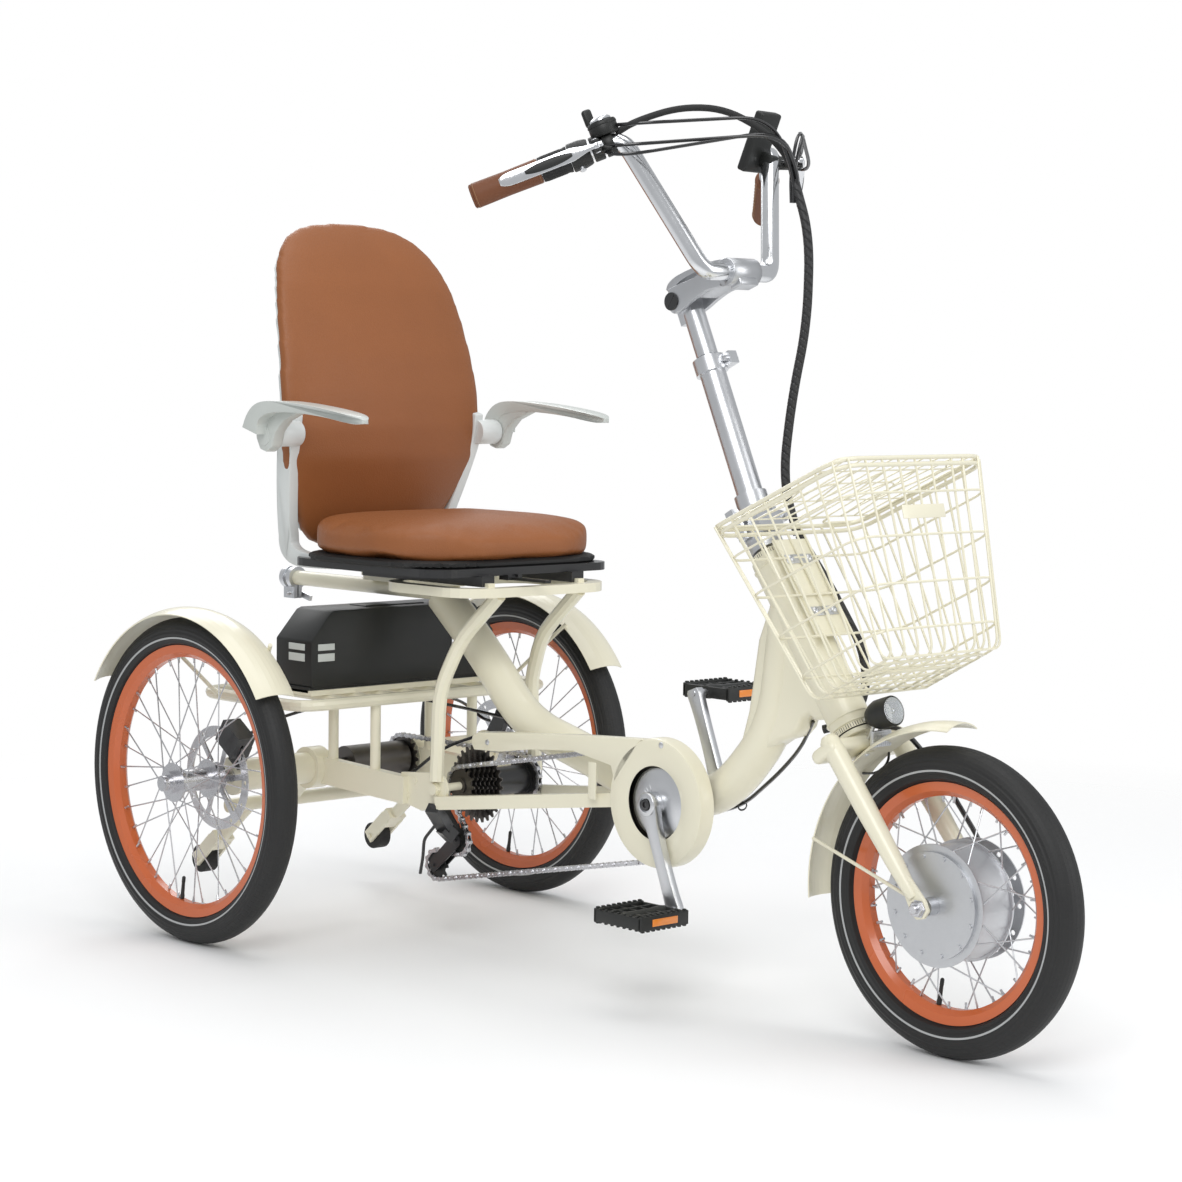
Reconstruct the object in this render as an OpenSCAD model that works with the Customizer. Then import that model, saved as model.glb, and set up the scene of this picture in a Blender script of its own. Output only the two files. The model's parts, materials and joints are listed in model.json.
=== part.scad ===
// Adult tricycle with two 20 inch rear wheels, a 16 inch motor wheel in front, a folding handlebar post,
// a seat with a back and armrests, a rear battery and a front wire basket.
// Millimetres, X forward, Y left, Z up. Each module is drawn from the rear axle's foot point on the ground
// and place() then moves it to the middle of the whole footprint.

/* [Frame] */
// Distance from the rear axle to the front axle
wheelbase = 1221; // [1180:1:1260]
// Distance between the middle planes of the rear wheels
track = 670; // [650:1:700]
// Radius of the main tube
main_tube_r = 28.5; // [24:0.5:30]
// Wall height of the rear box beams
beam_h = 42; // [34:1:44]
// Half the distance between the two rear box beams
beam_y = 98; // [97:0.5:100]

/* [Rear wheels] */
// Outer radius of a rear tyre
rear_tyre_r = 250; // [245:1:255]
// Width of a rear tyre
rear_tyre_w = 48; // [40:1:52]
// Outer radius of a rear rim
rear_rim_r = 208; // [204:1:210]
// Radius of the rear fenders
fender_r = 266; // [262:1:272]
// Radius of every brake disc
disc_r = 80; // [70:1:80]

/* [Front wheel] */
// Outer radius of the front tyre
front_tyre_r = 204; // [200:1:206]
// Width of the front tyre
front_tyre_w = 52; // [46:1:54]
// Outer radius of the front rim
front_rim_r = 158; // [154:1:160]
// Radius of the motor shell
motor_r = 76; // [60:1:78]

/* [Steering] */
// Lean of the steering axis from the vertical, in degrees
steer_lean = 35; // [34:0.5:36]
// Length of the head tube
head_len = 264; // [260:1:266]
// Radius of the head tube
head_r = 30; // [28:0.5:31]
// Lean of the handlebar post from the vertical, in degrees
post_lean = 24.7; // [24:0.1:25.5]
// Radius of the handlebar post
post_r = 18.5; // [17:0.5:19]
// Radius of the handlebar tube
bar_r = 12.7; // [12:0.1:12.7]

/* [Drive] */
// Teeth on the front chainring
ring_teeth = 40; // [36:1:40]
// Teeth on the outermost rear sprocket, which carries the chain
small_teeth = 14; // [14:1:16]
// Teeth on the two sprockets of the rear chain
axle_teeth = 18; // [16:1:18]
// Crank length from the bottom bracket to the pedal
crank_len = 152; // [145:1:160]

/* [Seat] */
// Length of the seat cushion
cushion_l = 385; // [360:1:390]
// Width of the seat cushion
cushion_w = 450; // [420:1:460]
// Thickness of the seat cushion
cushion_h = 76; // [60:1:80]

/* [Hidden] */

$fn = 48;
cream = "#eee9d0";
silver = "silver";
black = "#222222";
orange = "#d05a26";
tan_leather = "#b4774a";
grey_white = "#cdd0cb";

// Shift from the rear axle to the middle of the footprint
shift_x = -(wheelbase + front_tyre_r - rear_tyre_r) / 2;
rear_axle_z = rear_tyre_r;
wheel_y = track / 2;
// Lower race of the head tube
race_x = 1047;
race_z = 406;
// Middle plane of the fold hinge, and its lean
hinge_x = 863;
hinge_z = 678;
hinge_lean = 30;
// Foot of the handlebar post
post_x = 849;
post_z = 709;
post_len = 212;
// Stem pivot and the angle of the stem above the horizontal
stem_x = 713;
stem_z = 981;
stem_tilt = 21;
stem_len = 111;
// Bottom bracket
bb_x = 730;
bb_z = 278;
right_crank = -69;
// Jackshaft between the two chains
jack_x = 295;
jack_z = 250;
chain_y = -47;
axle_chain_y = 80;
pitch = 12.7;
guide_pulley_at = [292, 166];
tension_pulley_at = [241, 121];
pulley_teeth = 11;
chain_h = 8;
// Outer end of each handlebar half, and the top bend that the grip section runs to
bar_end = [590, -287, 1118];
bar_top = [733, -146, 1198];
// Working clearance of a running fit
fit = 0.06;
// Clearance between bodies that pass each other
gap = 0.3;
armrest_at = [57, 233, 780];
roller_at = [-186, 178, 87];
rack_z = 372;
disc_y = 288;
seat_z = 562;

function unit(v) = v / norm(v);
function radius_of(teeth) = pitch / (2 * sin(180 / teeth));

// A path with each inner corner rounded by a short curve that starts r before it
function bend(p, r, n = 4) = [
    p[0],
    for (i = [1:len(p) - 2])
        let (a = p[i] + unit(p[i - 1] - p[i]) * r, c = p[i] + unit(p[i + 1] - p[i]) * r)
            for (k = [0:n]) let (t = k / n) a * (1 - t) * (1 - t) + p[i] * 2 * t * (1 - t) + c * t * t,
    p[len(p) - 1]
];

// A round tube swept along a path; up is a direction that the path never takes
module swept(path, r, sides = 12, up = [0, 1, 0], closed = false) {
    last = len(path) - 1;
    rings = [
        for (i = [0:last])
            let (
                before = path[i > 0 ? i - 1 : (closed ? last : 0)],
                after = path[i < last ? i + 1 : (closed ? 0 : last)],
                t = unit(after - before),
                u = unit(cross(up, t)),
                v = cross(t, u)
            )
                for (k = [0:sides - 1])
                    path[i] + r * (cos(360 * k / sides) * u + sin(360 * k / sides) * v)
    ];
    walls = [
        for (i = [0:closed ? last : last - 1], k = [0:sides - 1], half = [0, 1])
            let (
                a = i * sides + k,
                b = i * sides + (k + 1) % sides,
                d = (i + 1) % (last + 1) * sides + k,
                c = (i + 1) % (last + 1) * sides + (k + 1) % sides
            )
                half == 0 ? [a, d, c] : [a, c, b]
    ];
    ends = [[for (k = [0:sides - 1]) k], [for (k = [sides - 1:-1:0]) last * sides + k]];
    polyhedron(points = rings, faces = concat(walls, closed ? [] : ends), convexity = 6);
}

module rod(a, b, r, sides = 32) {
    d = b - a;
    translate(a) rotate([0, acos(d.z / norm(d)), atan2(d.y, d.x)]) cylinder(r = r, h = norm(d), $fn = sides);
}

// A box beam from a to b, w wide and h high
module beam(a, b, w, h) {
    d = b - a;
    translate(a) rotate([0, -atan2(d.z, norm([d.x, d.y])), atan2(d.y, d.x)])
        translate([0, -w / 2, -h / 2]) cube([norm(d), w, h]);
}

// A cylinder along Y from y to y + w
module across(y, r, w, sides = 48) {
    translate([0, y, 0]) rotate([-90, 0, 0]) cylinder(r = r, h = w, $fn = sides);
}

// A ring along Y
module ring(y, r, bore, w, sides = 48) {
    difference() {
        across(y, r, w, sides);
        across(y - 1, bore, w + 2, sides);
    }
}

module spin_about_y() {
    rotate([90, 0, 0]) children();
}

module both_sides() {
    children();
    mirror([0, 1, 0]) children();
}

module place() {
    translate([shift_x, 0, 0]) children();
}

// The steering axis frame: Z runs up the head tube from the lower race
module steered() {
    translate([race_x, 0, race_z]) rotate([0, -steer_lean, 0]) children();
}

function in_steering(x, z) = [
    (x - race_x) * cos(steer_lean) + (z - race_z) * sin(steer_lean),
    (z - race_z) * cos(steer_lean) - (x - race_x) * sin(steer_lean)
];

module hinged() {
    translate([hinge_x, 0, hinge_z]) rotate([0, -hinge_lean, 0]) children();
}

module along_post() {
    translate([post_x, 0, post_z]) rotate([0, -post_lean, 0]) children();
}

// The stem frame: X runs from the stem pivot to the bar clamp
module along_stem() {
    translate([stem_x, 0, stem_z]) rotate([0, -stem_tilt, 0]) children();
}

// A handlebar half: Z runs inwards along the grip section from its outer end, X points forward and out,
// and Y points down
module along_grip(side) {
    d = unit(bar_top - bar_end);
    n = unit([d.y, -d.x, 0]);
    u = cross(d, n);
    mirror([0, side > 0 ? 1 : 0, 0])
        multmatrix([
            [n.x, u.x, d.x, bar_end.x],
            [n.y, u.y, d.y, bar_end.y],
            [n.z, u.z, d.z, bar_end.z],
            [0, 0, 0, 1]
        ])
            children();
}

// The rounded outline of a link between two points of the XZ plane, with a radius at each end
function link_outline(a, b, r1, r2, n = 12) =
    let (d = b - a, dir = atan2(d.y, d.x), lean = acos((r1 - r2) / norm(d)))
        [
            for (k = [0:n]) let (t = dir + lean + (360 - 2 * lean) * k / n) a + r1 * [cos(t), sin(t)],
            for (k = [0:n]) let (t = dir - lean + 2 * lean * k / n) b + r2 * [cos(t), sin(t)]
        ];

// An XZ outline standing from y to y + w
module upright(y, w) {
    translate([0, y + w, 0]) rotate([90, 0, 0]) linear_extrude(w) children();
}

// One sprocket outline with straight-sided teeth
function sprocket_outline(teeth) =
    let (r = radius_of(teeth), step = 360 / teeth)
        [
            for (i = [0:teeth - 1], k = [0:3])
                let (t = (i + [-0.32, -0.12, 0.12, 0.32][k]) * step, q = [-3.5, 3, 3, -3.5][k])
                    (r + q) * [cos(t), sin(t)]
        ];

module sprocket(y, teeth, bore) {
    difference() {
        upright(y - 1, 2) polygon(sprocket_outline(teeth));
        across(y - 2, bore, 4);
    }
}

// A chain path round directed wheels [x, z, radius, sense]; off moves it outwards
function tangent_dir(a, b) =
    let (d = [b[0] - a[0], b[1] - a[1]])
        atan2(d.y, d.x) + asin((a[2] * a[3] - b[2] * b[3]) / norm(d));
function chain_outline(wheels, off, n = 12) = [
    for (i = [0:len(wheels) - 1])
        let (
            w = wheels[i],
            before = wheels[(i + len(wheels) - 1) % len(wheels)],
            after = wheels[(i + 1) % len(wheels)],
            t_in = tangent_dir(before, w) - 90 * w[3],
            t_out = tangent_dir(w, after) - 90 * w[3],
            turn = w[3] > 0 ? (t_out - t_in + 720) % 360 : -((t_in - t_out + 720) % 360),
            r = w[2] + off * w[3]
        )
            for (k = [0:n]) let (t = t_in + turn * k / n) [w[0] + r * cos(t), w[1] + r * sin(t)]
];
drive_wheels = [
    [bb_x, bb_z, radius_of(ring_teeth), 1],
    [jack_x, jack_z, radius_of(small_teeth), 1],
    [guide_pulley_at.x, guide_pulley_at.y, radius_of(pulley_teeth), -1],
    [tension_pulley_at.x, tension_pulley_at.y, radius_of(pulley_teeth), 1]
];
axle_wheels = [
    [jack_x, jack_z, radius_of(axle_teeth), 1],
    [0, rear_axle_z, radius_of(axle_teeth), 1]
];

// The two rows of side plates of a chain, either side of the sprockets in plane y
module chain_rows(wheels, y) {
    for (row = [-3.4, 1.4])
        upright(y + row, 2) difference() {
            polygon(chain_outline(wheels, chain_h / 2));
            polygon(chain_outline(wheels, -chain_h / 2));
        }
}

// ---- Frame ----

head_base = 10;
module head_tube() color(cream) {
    steered() {
        difference() {
            translate([0, 0, head_base]) cylinder(r = head_r, h = head_len);
            cylinder(r = 21, h = head_len + 20);
        }
        for (z = [2, head_base + head_len]) translate([0, 0, z]) difference() {
            cylinder(r = 27, h = 8);
            translate([0, 0, -1]) cylinder(r = 14.25 + fit, h = 10);
        }
    }
}

main_path = bend([[925, 0, 565], [905, 0, 400], [812, 0, 296], [730, 0, 279], [640, 0, 285],
    [520, 0, 322], [390, 0, 352], [300, 0, 445], [196, 0, 530]], 34, 4);
module main_tube() color(cream) {
    difference() {
        union() {
            swept(main_path, main_tube_r, 16);
            upright(-13, 26) polygon([[905, 600], [855, 330], [905, 362], [960, 388], [1024, 424]]);
        }
        steered() translate([0, 0, -20]) cylinder(r = head_r, h = 340);
        translate([bb_x, 0, bb_z]) across(-60, 24, 120);
        translate([969, 0, 413]) across(-30, 8, 60, 16);
    }
}

plate_outline = concat(
    [for (k = [0:10]) let (t = -60 + 16 * k) [jack_x + 24 * cos(t), jack_z + 24 * sin(t)]],
    [[212, 266], [205, 222], [262, 212]]
);
module rear_subframe() {
    color(cream) {
        translate([bb_x, 0, bb_z]) difference() {
            across(-36, 24, 72);
            across(-28, 17, 56);
            across(-40, 8 + fit, 80);
        }
        both_sides() {
            beam([706, 20.5, 278], [300, 98.2, 229], 13, 20);
            upright(91.4, 5) polygon(plate_outline);
            difference() {
                beam([228, beam_y, 240], [12, beam_y, 248], 16, beam_h);
                translate([0, 0, rear_axle_z]) across(60, 33, 80);
            }
        }
    }
    color(silver) {
        translate([jack_x, 0, jack_z]) {
            across(-102, 6, 198);
            both_sides() across(96, 11, 6, 6);
            across(-105, 9, 3);
        }
        both_sides() for (p = [[217, 257], [227, 232], [244, 256]]) translate([p.x, 0, p.y]) across(88, 5, 10, 6);
    }
}

module axle_housing() color(cream) translate([0, 0, rear_axle_z]) {
    for (y = [[-262, 187], [88, 174]]) difference() {
        union() {
            across(y[0], 25, y[1]);
            across(y[0] < 0 ? -118 : 89, 33, y[0] < 0 ? 29 : 29);
            across(y[0] < 0 ? -262 : 256, 30, 6);
        }
        across(y[0] - 1, 20, y[1] + 2);
    }
    for (y = [-262, -87, 88, 250]) ring(y, 20, 10 + fit, 12);
}

rack_mid = 32;
rack_l = 254;
rack_w = 500;
module rack_frame() {
    color(cream) {
        loop = bend([for (c = [[0, 1], [1, 1], [1, -1], [-1, -1], [-1, 1], [0, 1]])
            [rack_mid + c.x * rack_l / 2, c.y * rack_w / 2, rack_z]], 40, 4);
        swept([for (i = [1:len(loop) - 1]) loop[i]], 9, 10, [0, 0, 1], true);
        for (y = [-150:50:150]) rod([rack_mid - rack_l / 2, y, rack_z], [rack_mid + rack_l / 2, y, rack_z], 6);
        for (x = [45, 150], y = [-beam_y, beam_y]) rod([x, y, 261], [x, y, rack_z - 4], 8);
        translate([8, -186, rack_z + 6]) cube([94, 372, 8]);
    }
    color(silver) both_sides() {
        rod([60, 258, rack_z], [150, 300, 468], 3.2, 12);
        rod([-40, 258, rack_z], [-150, 300, 468], 3.2, 12);
    }
}

module antitip_bar() color(cream) {
    rod([-62, -224, 192], [-62, 224, 192], 11);
    both_sides() {
        beam([-20, 103, 231], [-62, 103, 192], 24, 12);
        rod([-62, 178, 192], [-150, 178, 120], 10);
        for (y = [161, 190]) beam([-146, y + 2.5, 124], [-192, y + 2.5, 84], 5, 22);
        beam([-160, 178, 112], [-136, 178, 132], 34, 20);
        translate([roller_at.x, 0, roller_at.z]) across(158, 4, 40, 24);
    }
}

// A rounded rectangle centred on the origin
function round_rect(l, w, r, n = 6) = [
    for (c = [[1, 1, 0], [-1, 1, 90], [-1, -1, 180], [1, -1, 270]], k = [0:n])
        let (t = c[2] + 90 * k / n)
            [c.x * (l / 2 - r) + r * cos(t), c.y * (w / 2 - r) + r * sin(t)]
];

ring_x = 316;
module seat_platform() {
    color(cream) {
        translate([ring_x, 0, seat_z - 14]) linear_extrude(14) difference() {
            polygon(round_rect(224, 300, 60));
            polygon(round_rect(184, 260, 44));
        }
        both_sides() swept(bend([[416, 80, 551.5], [332, 82, 478], [296, 92, 400], [300, 100.5, 262]], 30, 3), 11, 10);
        beam([25, 0, 553.4], [215, 0, 553.4], 50, 14.6);
        difference() {
            rod([-212, 0, 535], [205, 0, 535], 12);
            rod([-213, 0, 535], [-40, 0, 535], 9.5);
        }
    }
    color(silver) both_sides() translate([110, 84, seat_z]) cube([300, 12, 6]);
}

module socket_clamp() color(silver) translate([-206, 0, 535]) {
    difference() {
        union() {
            for (x = [0, 18]) translate([x, 0, 0]) rotate([0, 90, 0]) cylinder(r = 18, h = 10);
            rotate([0, 90, 0]) cylinder(r = 15, h = 28);
            translate([0, -8, -34]) cube([28, 16, 22]);
        }
        translate([-1, 0, 0]) rotate([0, 90, 0]) cylinder(r = 12, h = 30);
        translate([-1, -1, -40]) cube([30, 2, 30]);
    }
    translate([14, -14, -26]) across(0, 4, 28, 24);
    beam([14, 12, -26], [42, 16, -34], 6, 9);
}

// An arched fender section in the plane of the wheel radius: [radius, width] points
function fender_section(r, w, t = 1.6, rise = 10, n = 8) = concat(
    [for (k = [0:n]) let (u = 2 * k / n - 1) [r - rise * u * u, u * w / 2]],
    [for (k = [n:-1:0]) let (u = 2 * k / n - 1) [r - t - rise * u * u, u * (w / 2 - t / 2)]]
);
// A fender band from angle a to angle b in the XZ plane
module fender_band(r, w, a, b) {
    spin_about_y() rotate([0, 0, a]) rotate_extrude(angle = b - a, $fn = 96) polygon(fender_section(r, w));
}
module rear_fenders() color(cream) both_sides()
    translate([0, wheel_y, rear_axle_z]) fender_band(fender_r, 70, 35, 148);

module chain_guard() color(cream) {
    translate([bb_x, 0, bb_z]) {
        difference() {
            ring(-62.5, 95, 50, 2);
            translate([-120, -70, -130]) cube([75, 20, 95]);
        }
        difference() {
            ring(-60.7, 95, 92.6, 24, 72);
            translate([-120, -70, -120]) cube([116, 60, 240]);
        }
    }
    upright(-62.5, 2) polygon([[702, 365], [430, 344], [352, 336], [334, 322], [352, 306], [430, 312],
        [652, 326]]);
    beam([600, -61.4, 330], [600, -61.4, 270], 2.6, 16);
    beam([600, -62, 274], [600, -50, 268], 16, 6);
}

// The basket in the steering frame: its lower and upper edges in the side view, and half its widths
basket_floor = [[50, 30], [196, 13]];
basket_rim = [[42, 298], [288, 252]];
// A block with the basket's outline, t inside it on every wall and rising top above the rim
module basket_block(t, top) intersection() {
    upright(-200, 400) polygon([
        basket_floor[0] + [t, t], basket_floor[1] + [-t, t],
        basket_rim[1] + [-t, top], basket_rim[0] + [t, top]
    ]);
    rotate([90, 0, 90]) linear_extrude(400) polygon([
        [t - 119, 0], [119 - t, 0], [153 - t, 340], [t - 153, 340]
    ]);
}
// The lid's hinge line behind the rear rim, in the steering frame
lid_hinge = [37, 301];
module basket() color(cream) steered() {
    difference() {
        basket_block(0, 0);
        basket_block(3, 40);
    }
    translate([38, -34, 128]) cube([3.5, 68, 152]);
    for (z = [158, 240]) difference() {
        translate([20, -21, z]) cube([19, 42, 16]);
        cylinder(r = head_r, h = 300);
    }
    for (y = [-100.5, -85.5, 82, 97]) translate([32, y, 284]) cube([11, 3.5, 20]);
    for (y = [-100, 82]) translate([lid_hinge.x, 0, lid_hinge.y]) across(y, 1.8, 18, 24);
    for (y = [-20, 16], z = [162, 244]) translate([41, y, z]) cube([7.2, 6, 6]);
}

module chains() color(silver) {
    chain_rows(drive_wheels, chain_y);
    chain_rows(axle_wheels, axle_chain_y);
}

module derailleur() color(black) {
    for (y = [-55.5, -41.5])
        upright(y, 2) polygon(link_outline(guide_pulley_at, tension_pulley_at, 11, 10, 8));
    for (p = [guide_pulley_at, tension_pulley_at]) translate([p.x, 0, p.y]) across(-57, 2.5, 18, 24);
    translate([298, 0, 222]) across(-106, 6, 12);
    beam([298, -105, 222], [286, -70, 186], 22, 16);
    beam([288, -77, 188], [291, -60, 172], 18, 20);
    swept(bend([[280, -84, 192], [262, -92, 168], [255, -88, 140], [244, -84, 112]], 8, 3), 2.5, 8);
}

module rear_calipers() both_sides() translate([0, 0, rear_axle_z]) rotate([0, -57, 0]) {
    color(black) difference() {
        translate([58, disc_y - 19, -24]) cube([38, 32, 48]);
        translate([40, disc_y - 2, -40]) cube([43, 4, 80]);
    }
    color(black) translate([24, 258, -14]) cube([44, 11, 28]);
}

// The cables that stay on the frame: down the front of the head tube, into the gusset, and under the rack
module cable_loom() color(black) {
    steered() swept(bend([[20, 50, 294], [31, 50, 200], [32, 52, 100], [0, 45, 42], [-40, 26, 32],
        [-60, 15, 38]], 22, 3), 6.5, 10, [0, 1, 0]);
    swept(bend([[60, 45, 357], [190, 46, 352], [320, 46, 345], [400, 34, 336]], 30, 3), 4.5, 8);
    swept(bend([[60, 45, 357], [40, 130, 352], [10, 200, 330], [10, 246, 300]], 30, 3), 3, 8, [0, 0, 1]);
}

// ---- Steered parts ----

fork_axle = in_steering(wheelbase, front_tyre_r);
leg_y = 66;
module fork() {
    color(cream) steered() {
        translate([0, 0, -20]) cylinder(r = 14.25, h = 332);
        translate([0, 0, -5]) cylinder(r = 25, h = 6.5);
        translate([0, 0, -25]) linear_extrude(20) polygon(round_rect(46, 2 * leg_y + 30, 18));
        both_sides() {
            rod([9, leg_y, -12], [19, leg_y, fork_axle.y + 26], 13);
            upright(leg_y - 3, 6) polygon(link_outline([19, fork_axle.y + 34], fork_axle, 9, 15, 10));
        }
    }
    color(silver) translate([wheelbase, 0, front_tyre_r]) {
        across(-82, 6, 164);
        both_sides() across(69, 11, 7, 6);
    }
    color(black) translate([wheelbase, 0, front_tyre_r]) rotate([0, 168, 0]) difference() {
        translate([58, 36, -22]) cube([34, 32, 44]);
        translate([40, 45, -40]) cube([41, 4, 80]);
    }
}

module front_fender() {
    color(cream) {
        translate([wheelbase, 0, front_tyre_r]) fender_band(236, 62, 88, 186);
        steered() translate([-9, -9, -34]) cube([18, 18, 9.5]);
    }
    color(silver) both_sides() {
        rod([1002, 30, 262], [wheelbase - 14, leg_y - 1.5, front_tyre_r + 10], 2.4, 12);
    }
}

lamp_at = [1072, 0, 430];
module headlight() {
    color(black) {
        translate(lamp_at) rotate([0, 72, 0]) {
            cylinder(r1 = 13, r2 = 20, h = 16);
            translate([0, 0, 16]) cylinder(r = 20, h = 26);
        }
        translate([1089, -20, 392]) cube([7, 40, 24]);
    }
    color(silver) {
        beam([1069, 0, 386], [1095, 0, 430], 16, 5);
    }
    color("white") translate(lamp_at) rotate([0, 72, 0]) translate([0, 0, 42]) cylinder(r = 17.5, h = 3);
}

knuckle_y = 31;
module hinge_base() color(silver) {
    steered() difference() {
        translate([0, 0, 287]) cylinder(r = 24, h = 30);
        translate([0, 0, 280]) cylinder(r = 14.25, h = 32);
    }
    hinged() {
        difference() {
            translate([-22, -24, -22]) cube([44, 46, 22 - gap / 2]);
            rotate([0, hinge_lean - steer_lean, 0]) translate([-5.3, 0, -60]) cylinder(r = 14.25, h = 44);
        }
        translate([-8, 20, -9]) cube([16, 11, 8.5]);
        translate([-8, knuckle_y, 0]) rotate([0, 90, 0]) cylinder(r = 8, h = 16);
        translate([-26, knuckle_y, 0]) rotate([0, 90, 0]) cylinder(r = 4, h = 52);
        translate([-9, -40, -14]) across(0, 4, 17, 24);
    }
}

// The cables from the controls down to the head tube, which flex with the steering and the post
module control_cables() color(black)
    swept(bend([[893, 46, 662], [864, 45, 736], [878, 46, 850], [903, 46, 950], [905, 46, 1070],
        [876, 45, 1146]], 30, 3), 6.5, 10, [0, 1, 0]);

module handlebar_post() color(silver) {
    hinged() {
        translate([-21, -23, gap / 2]) cube([42, 44, 20]);
        for (x = [-20, 8 + gap]) difference() {
            union() {
                translate([x, 20, 0.5]) cube([12 - gap, 11, 8.5]);
                translate([x, knuckle_y, 0]) rotate([0, 90, 0]) cylinder(r = 8, h = 12 - gap);
            }
            translate([x - 1, knuckle_y, 0]) rotate([0, 90, 0]) cylinder(r = 4 + fit, h = 16);
        }
    }
    along_post() {
        difference() {
            union() {
                translate([0, 0, -22]) cylinder(r = 23, h = 30);
                cylinder(r = post_r, h = post_len - 18);
                translate([0, 0, post_len - 22]) cylinder(r = 23, h = 22);
                translate([10, 6, post_len - 20]) cube([24, 16, 18]);
            }
            translate([0, 0, 14]) cylinder(r = 14 + fit, h = post_len);
        }
        translate([27, 0, post_len - 11]) across(-2, 4, 28, 24);
    }
}

module fold_latch() color(silver) hinged() {
    difference() {
        translate([-16, -34, -21]) cube([14, 6, 44]);
        translate([-9, 0, -14]) across(-36, 4 + fit, 12, 24);
    }
    translate([-16, -42, 15]) cube([14, 8.5, 8]);
}

// The stem pivot in the post frame
pivot_at = [
    (stem_x - post_x) * cos(post_lean) + (stem_z - post_z) * sin(post_lean),
    (stem_z - post_z) * cos(post_lean) - (stem_x - post_x) * sin(post_lean)
];
module bar_riser() color(silver) along_post() {
    translate([0, 0, 60]) cylinder(r = 14, h = post_len - 56);
    translate([0, 0, post_len + 4]) cylinder(r = 15.5, h = 66);
    difference() {
        union() {
            translate([pivot_at.x, 0, pivot_at.y]) across(-18, 17, 36);
            translate([-19, -13, 270]) cube([27, 26, 34]);
        }
        translate([pivot_at.x, 0, pivot_at.y]) across(-30, 5 + fit, 60);
    }
}

module bar_stem() color(silver) along_stem() {
    both_sides() {
        difference() {
            upright(18 + gap, 8) polygon(link_outline([0, 0], [44, 0], 19, 15, 12));
            translate([stem_len, 0, 0]) across(0, bar_r, 60);
        }
        translate([-12, 18 + gap, 12]) cube([12, 8, 20]);
    }
    across(-28, 5, 56);
    difference() {
        union() {
            translate([38, -26, -13]) cube([64, 52, 26]);
            translate([stem_len, 0, 0]) across(-27, 18, 54);
        }
        translate([stem_len, 0, 0]) across(-30, bar_r, 60);
    }
    translate([-6, 0, 26]) across(-20, 3, 40, 24);
}

half_bar = bend([bar_end, bar_top, [813, -66, 1021], [817, -40, 1021], [817, 0, 1021]], 12, 4);
bar_points = concat(half_bar, [for (i = [len(half_bar) - 2:-1:0]) [half_bar[i].x, -half_bar[i].y, half_bar[i].z]]);
module handlebar() color(silver) swept(bar_points, bar_r, 16, [1, 0, 0]);

module sleeve(z, r, h, bore) {
    difference() {
        translate([0, 0, z]) cylinder(r = r, h = h);
        translate([0, 0, z - 1]) cylinder(r = bore, h = h + 2);
    }
}
module grips() color(tan_leather) {
    along_grip(-1) sleeve(0, 17.5, 97, bar_r);
    along_grip(1) sleeve(0, 17.5, 124, bar_r);
    along_grip(-1) translate([0, 0, -3]) cylinder(r = 17, h = 3);
    along_grip(1) translate([0, 0, -3]) cylinder(r = 17, h = 3);
}
module throttle_sleeve() color(black) along_grip(-1) sleeve(97 + gap, 17.5, 43 - gap, bar_r + fit);

lever_x = 44;
module perch() {
    sleeve(173, 17, 14, bar_r);
    difference() {
        translate([12, -9, 174]) cube([lever_x - 6, 18, 12]);
        translate([lever_x - 8, -4, 170]) cube([20, 8, 20]);
    }
    translate([lever_x, -11, 180]) rotate([-90, 0, 0]) cylinder(r = 3, h = 22, $fn = 24);
}
module bar_controls() {
    color(black) {
        along_grip(-1) sleeve(140 + gap, 20, 29, bar_r);
        along_grip(-1) perch();
        along_grip(1) perch();
        along_grip(-1) {
            sleeve(190, 17, 14, bar_r);
            translate([0, -12, 197]) rotate([90, 0, 0]) cylinder(r = 20, h = 20);
        }
        translate([716, 128, 1210]) rotate([0, -22, 8]) translate([-32, -42, -8]) cube([60, 84, 16]);
    }
}
// A brake lever: a boss on its pin and a blade towards the bar's outer end
module brake_blade() {
    difference() {
        union() {
            translate([lever_x, -3.7, 180]) rotate([-90, 0, 0]) cylinder(r = 7, h = 7.4, $fn = 32);
            translate([lever_x - 1, -3.7, 40]) cube([8, 7.4, 140]);
            translate([lever_x + 3, -3.7, 46]) rotate([-90, 0, 0]) cylinder(r = 8, h = 7.4, $fn = 32);
        }
        translate([lever_x, -8, 180]) rotate([-90, 0, 0]) cylinder(r = 3 + fit, h = 16, $fn = 24);
    }
}
module brake_lever_right() color(silver) along_grip(-1) brake_blade();
module brake_lever_left() color(silver) along_grip(1) brake_blade();
module shifter_lever() color(silver) along_grip(-1) translate([0, -32 - gap, 197]) rotate([90, 0, 0]) {
    cylinder(r = 15, h = 5);
    rotate([0, 0, 200]) translate([6, -5, 0]) cube([42, 10, 5]);
    rotate([0, 0, 200]) translate([40, -7, 0]) cube([8, 14, 26]);
}
module stem_lock_lever() color(silver) along_stem() {
    difference() {
        union() {
            translate([-6, 0, 26]) across(-9, 7, 18, 32);
            upright(-8, 16) polygon([[-4, 22], [40, 24], [70, 27], [98, 21], [100, 26], [70, 33], [40, 31], [-6, 30]]);
        }
        translate([-6, 0, 26]) across(-12, 3 + fit, 24, 24);
    }
}

// ---- Wheels ----

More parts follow.
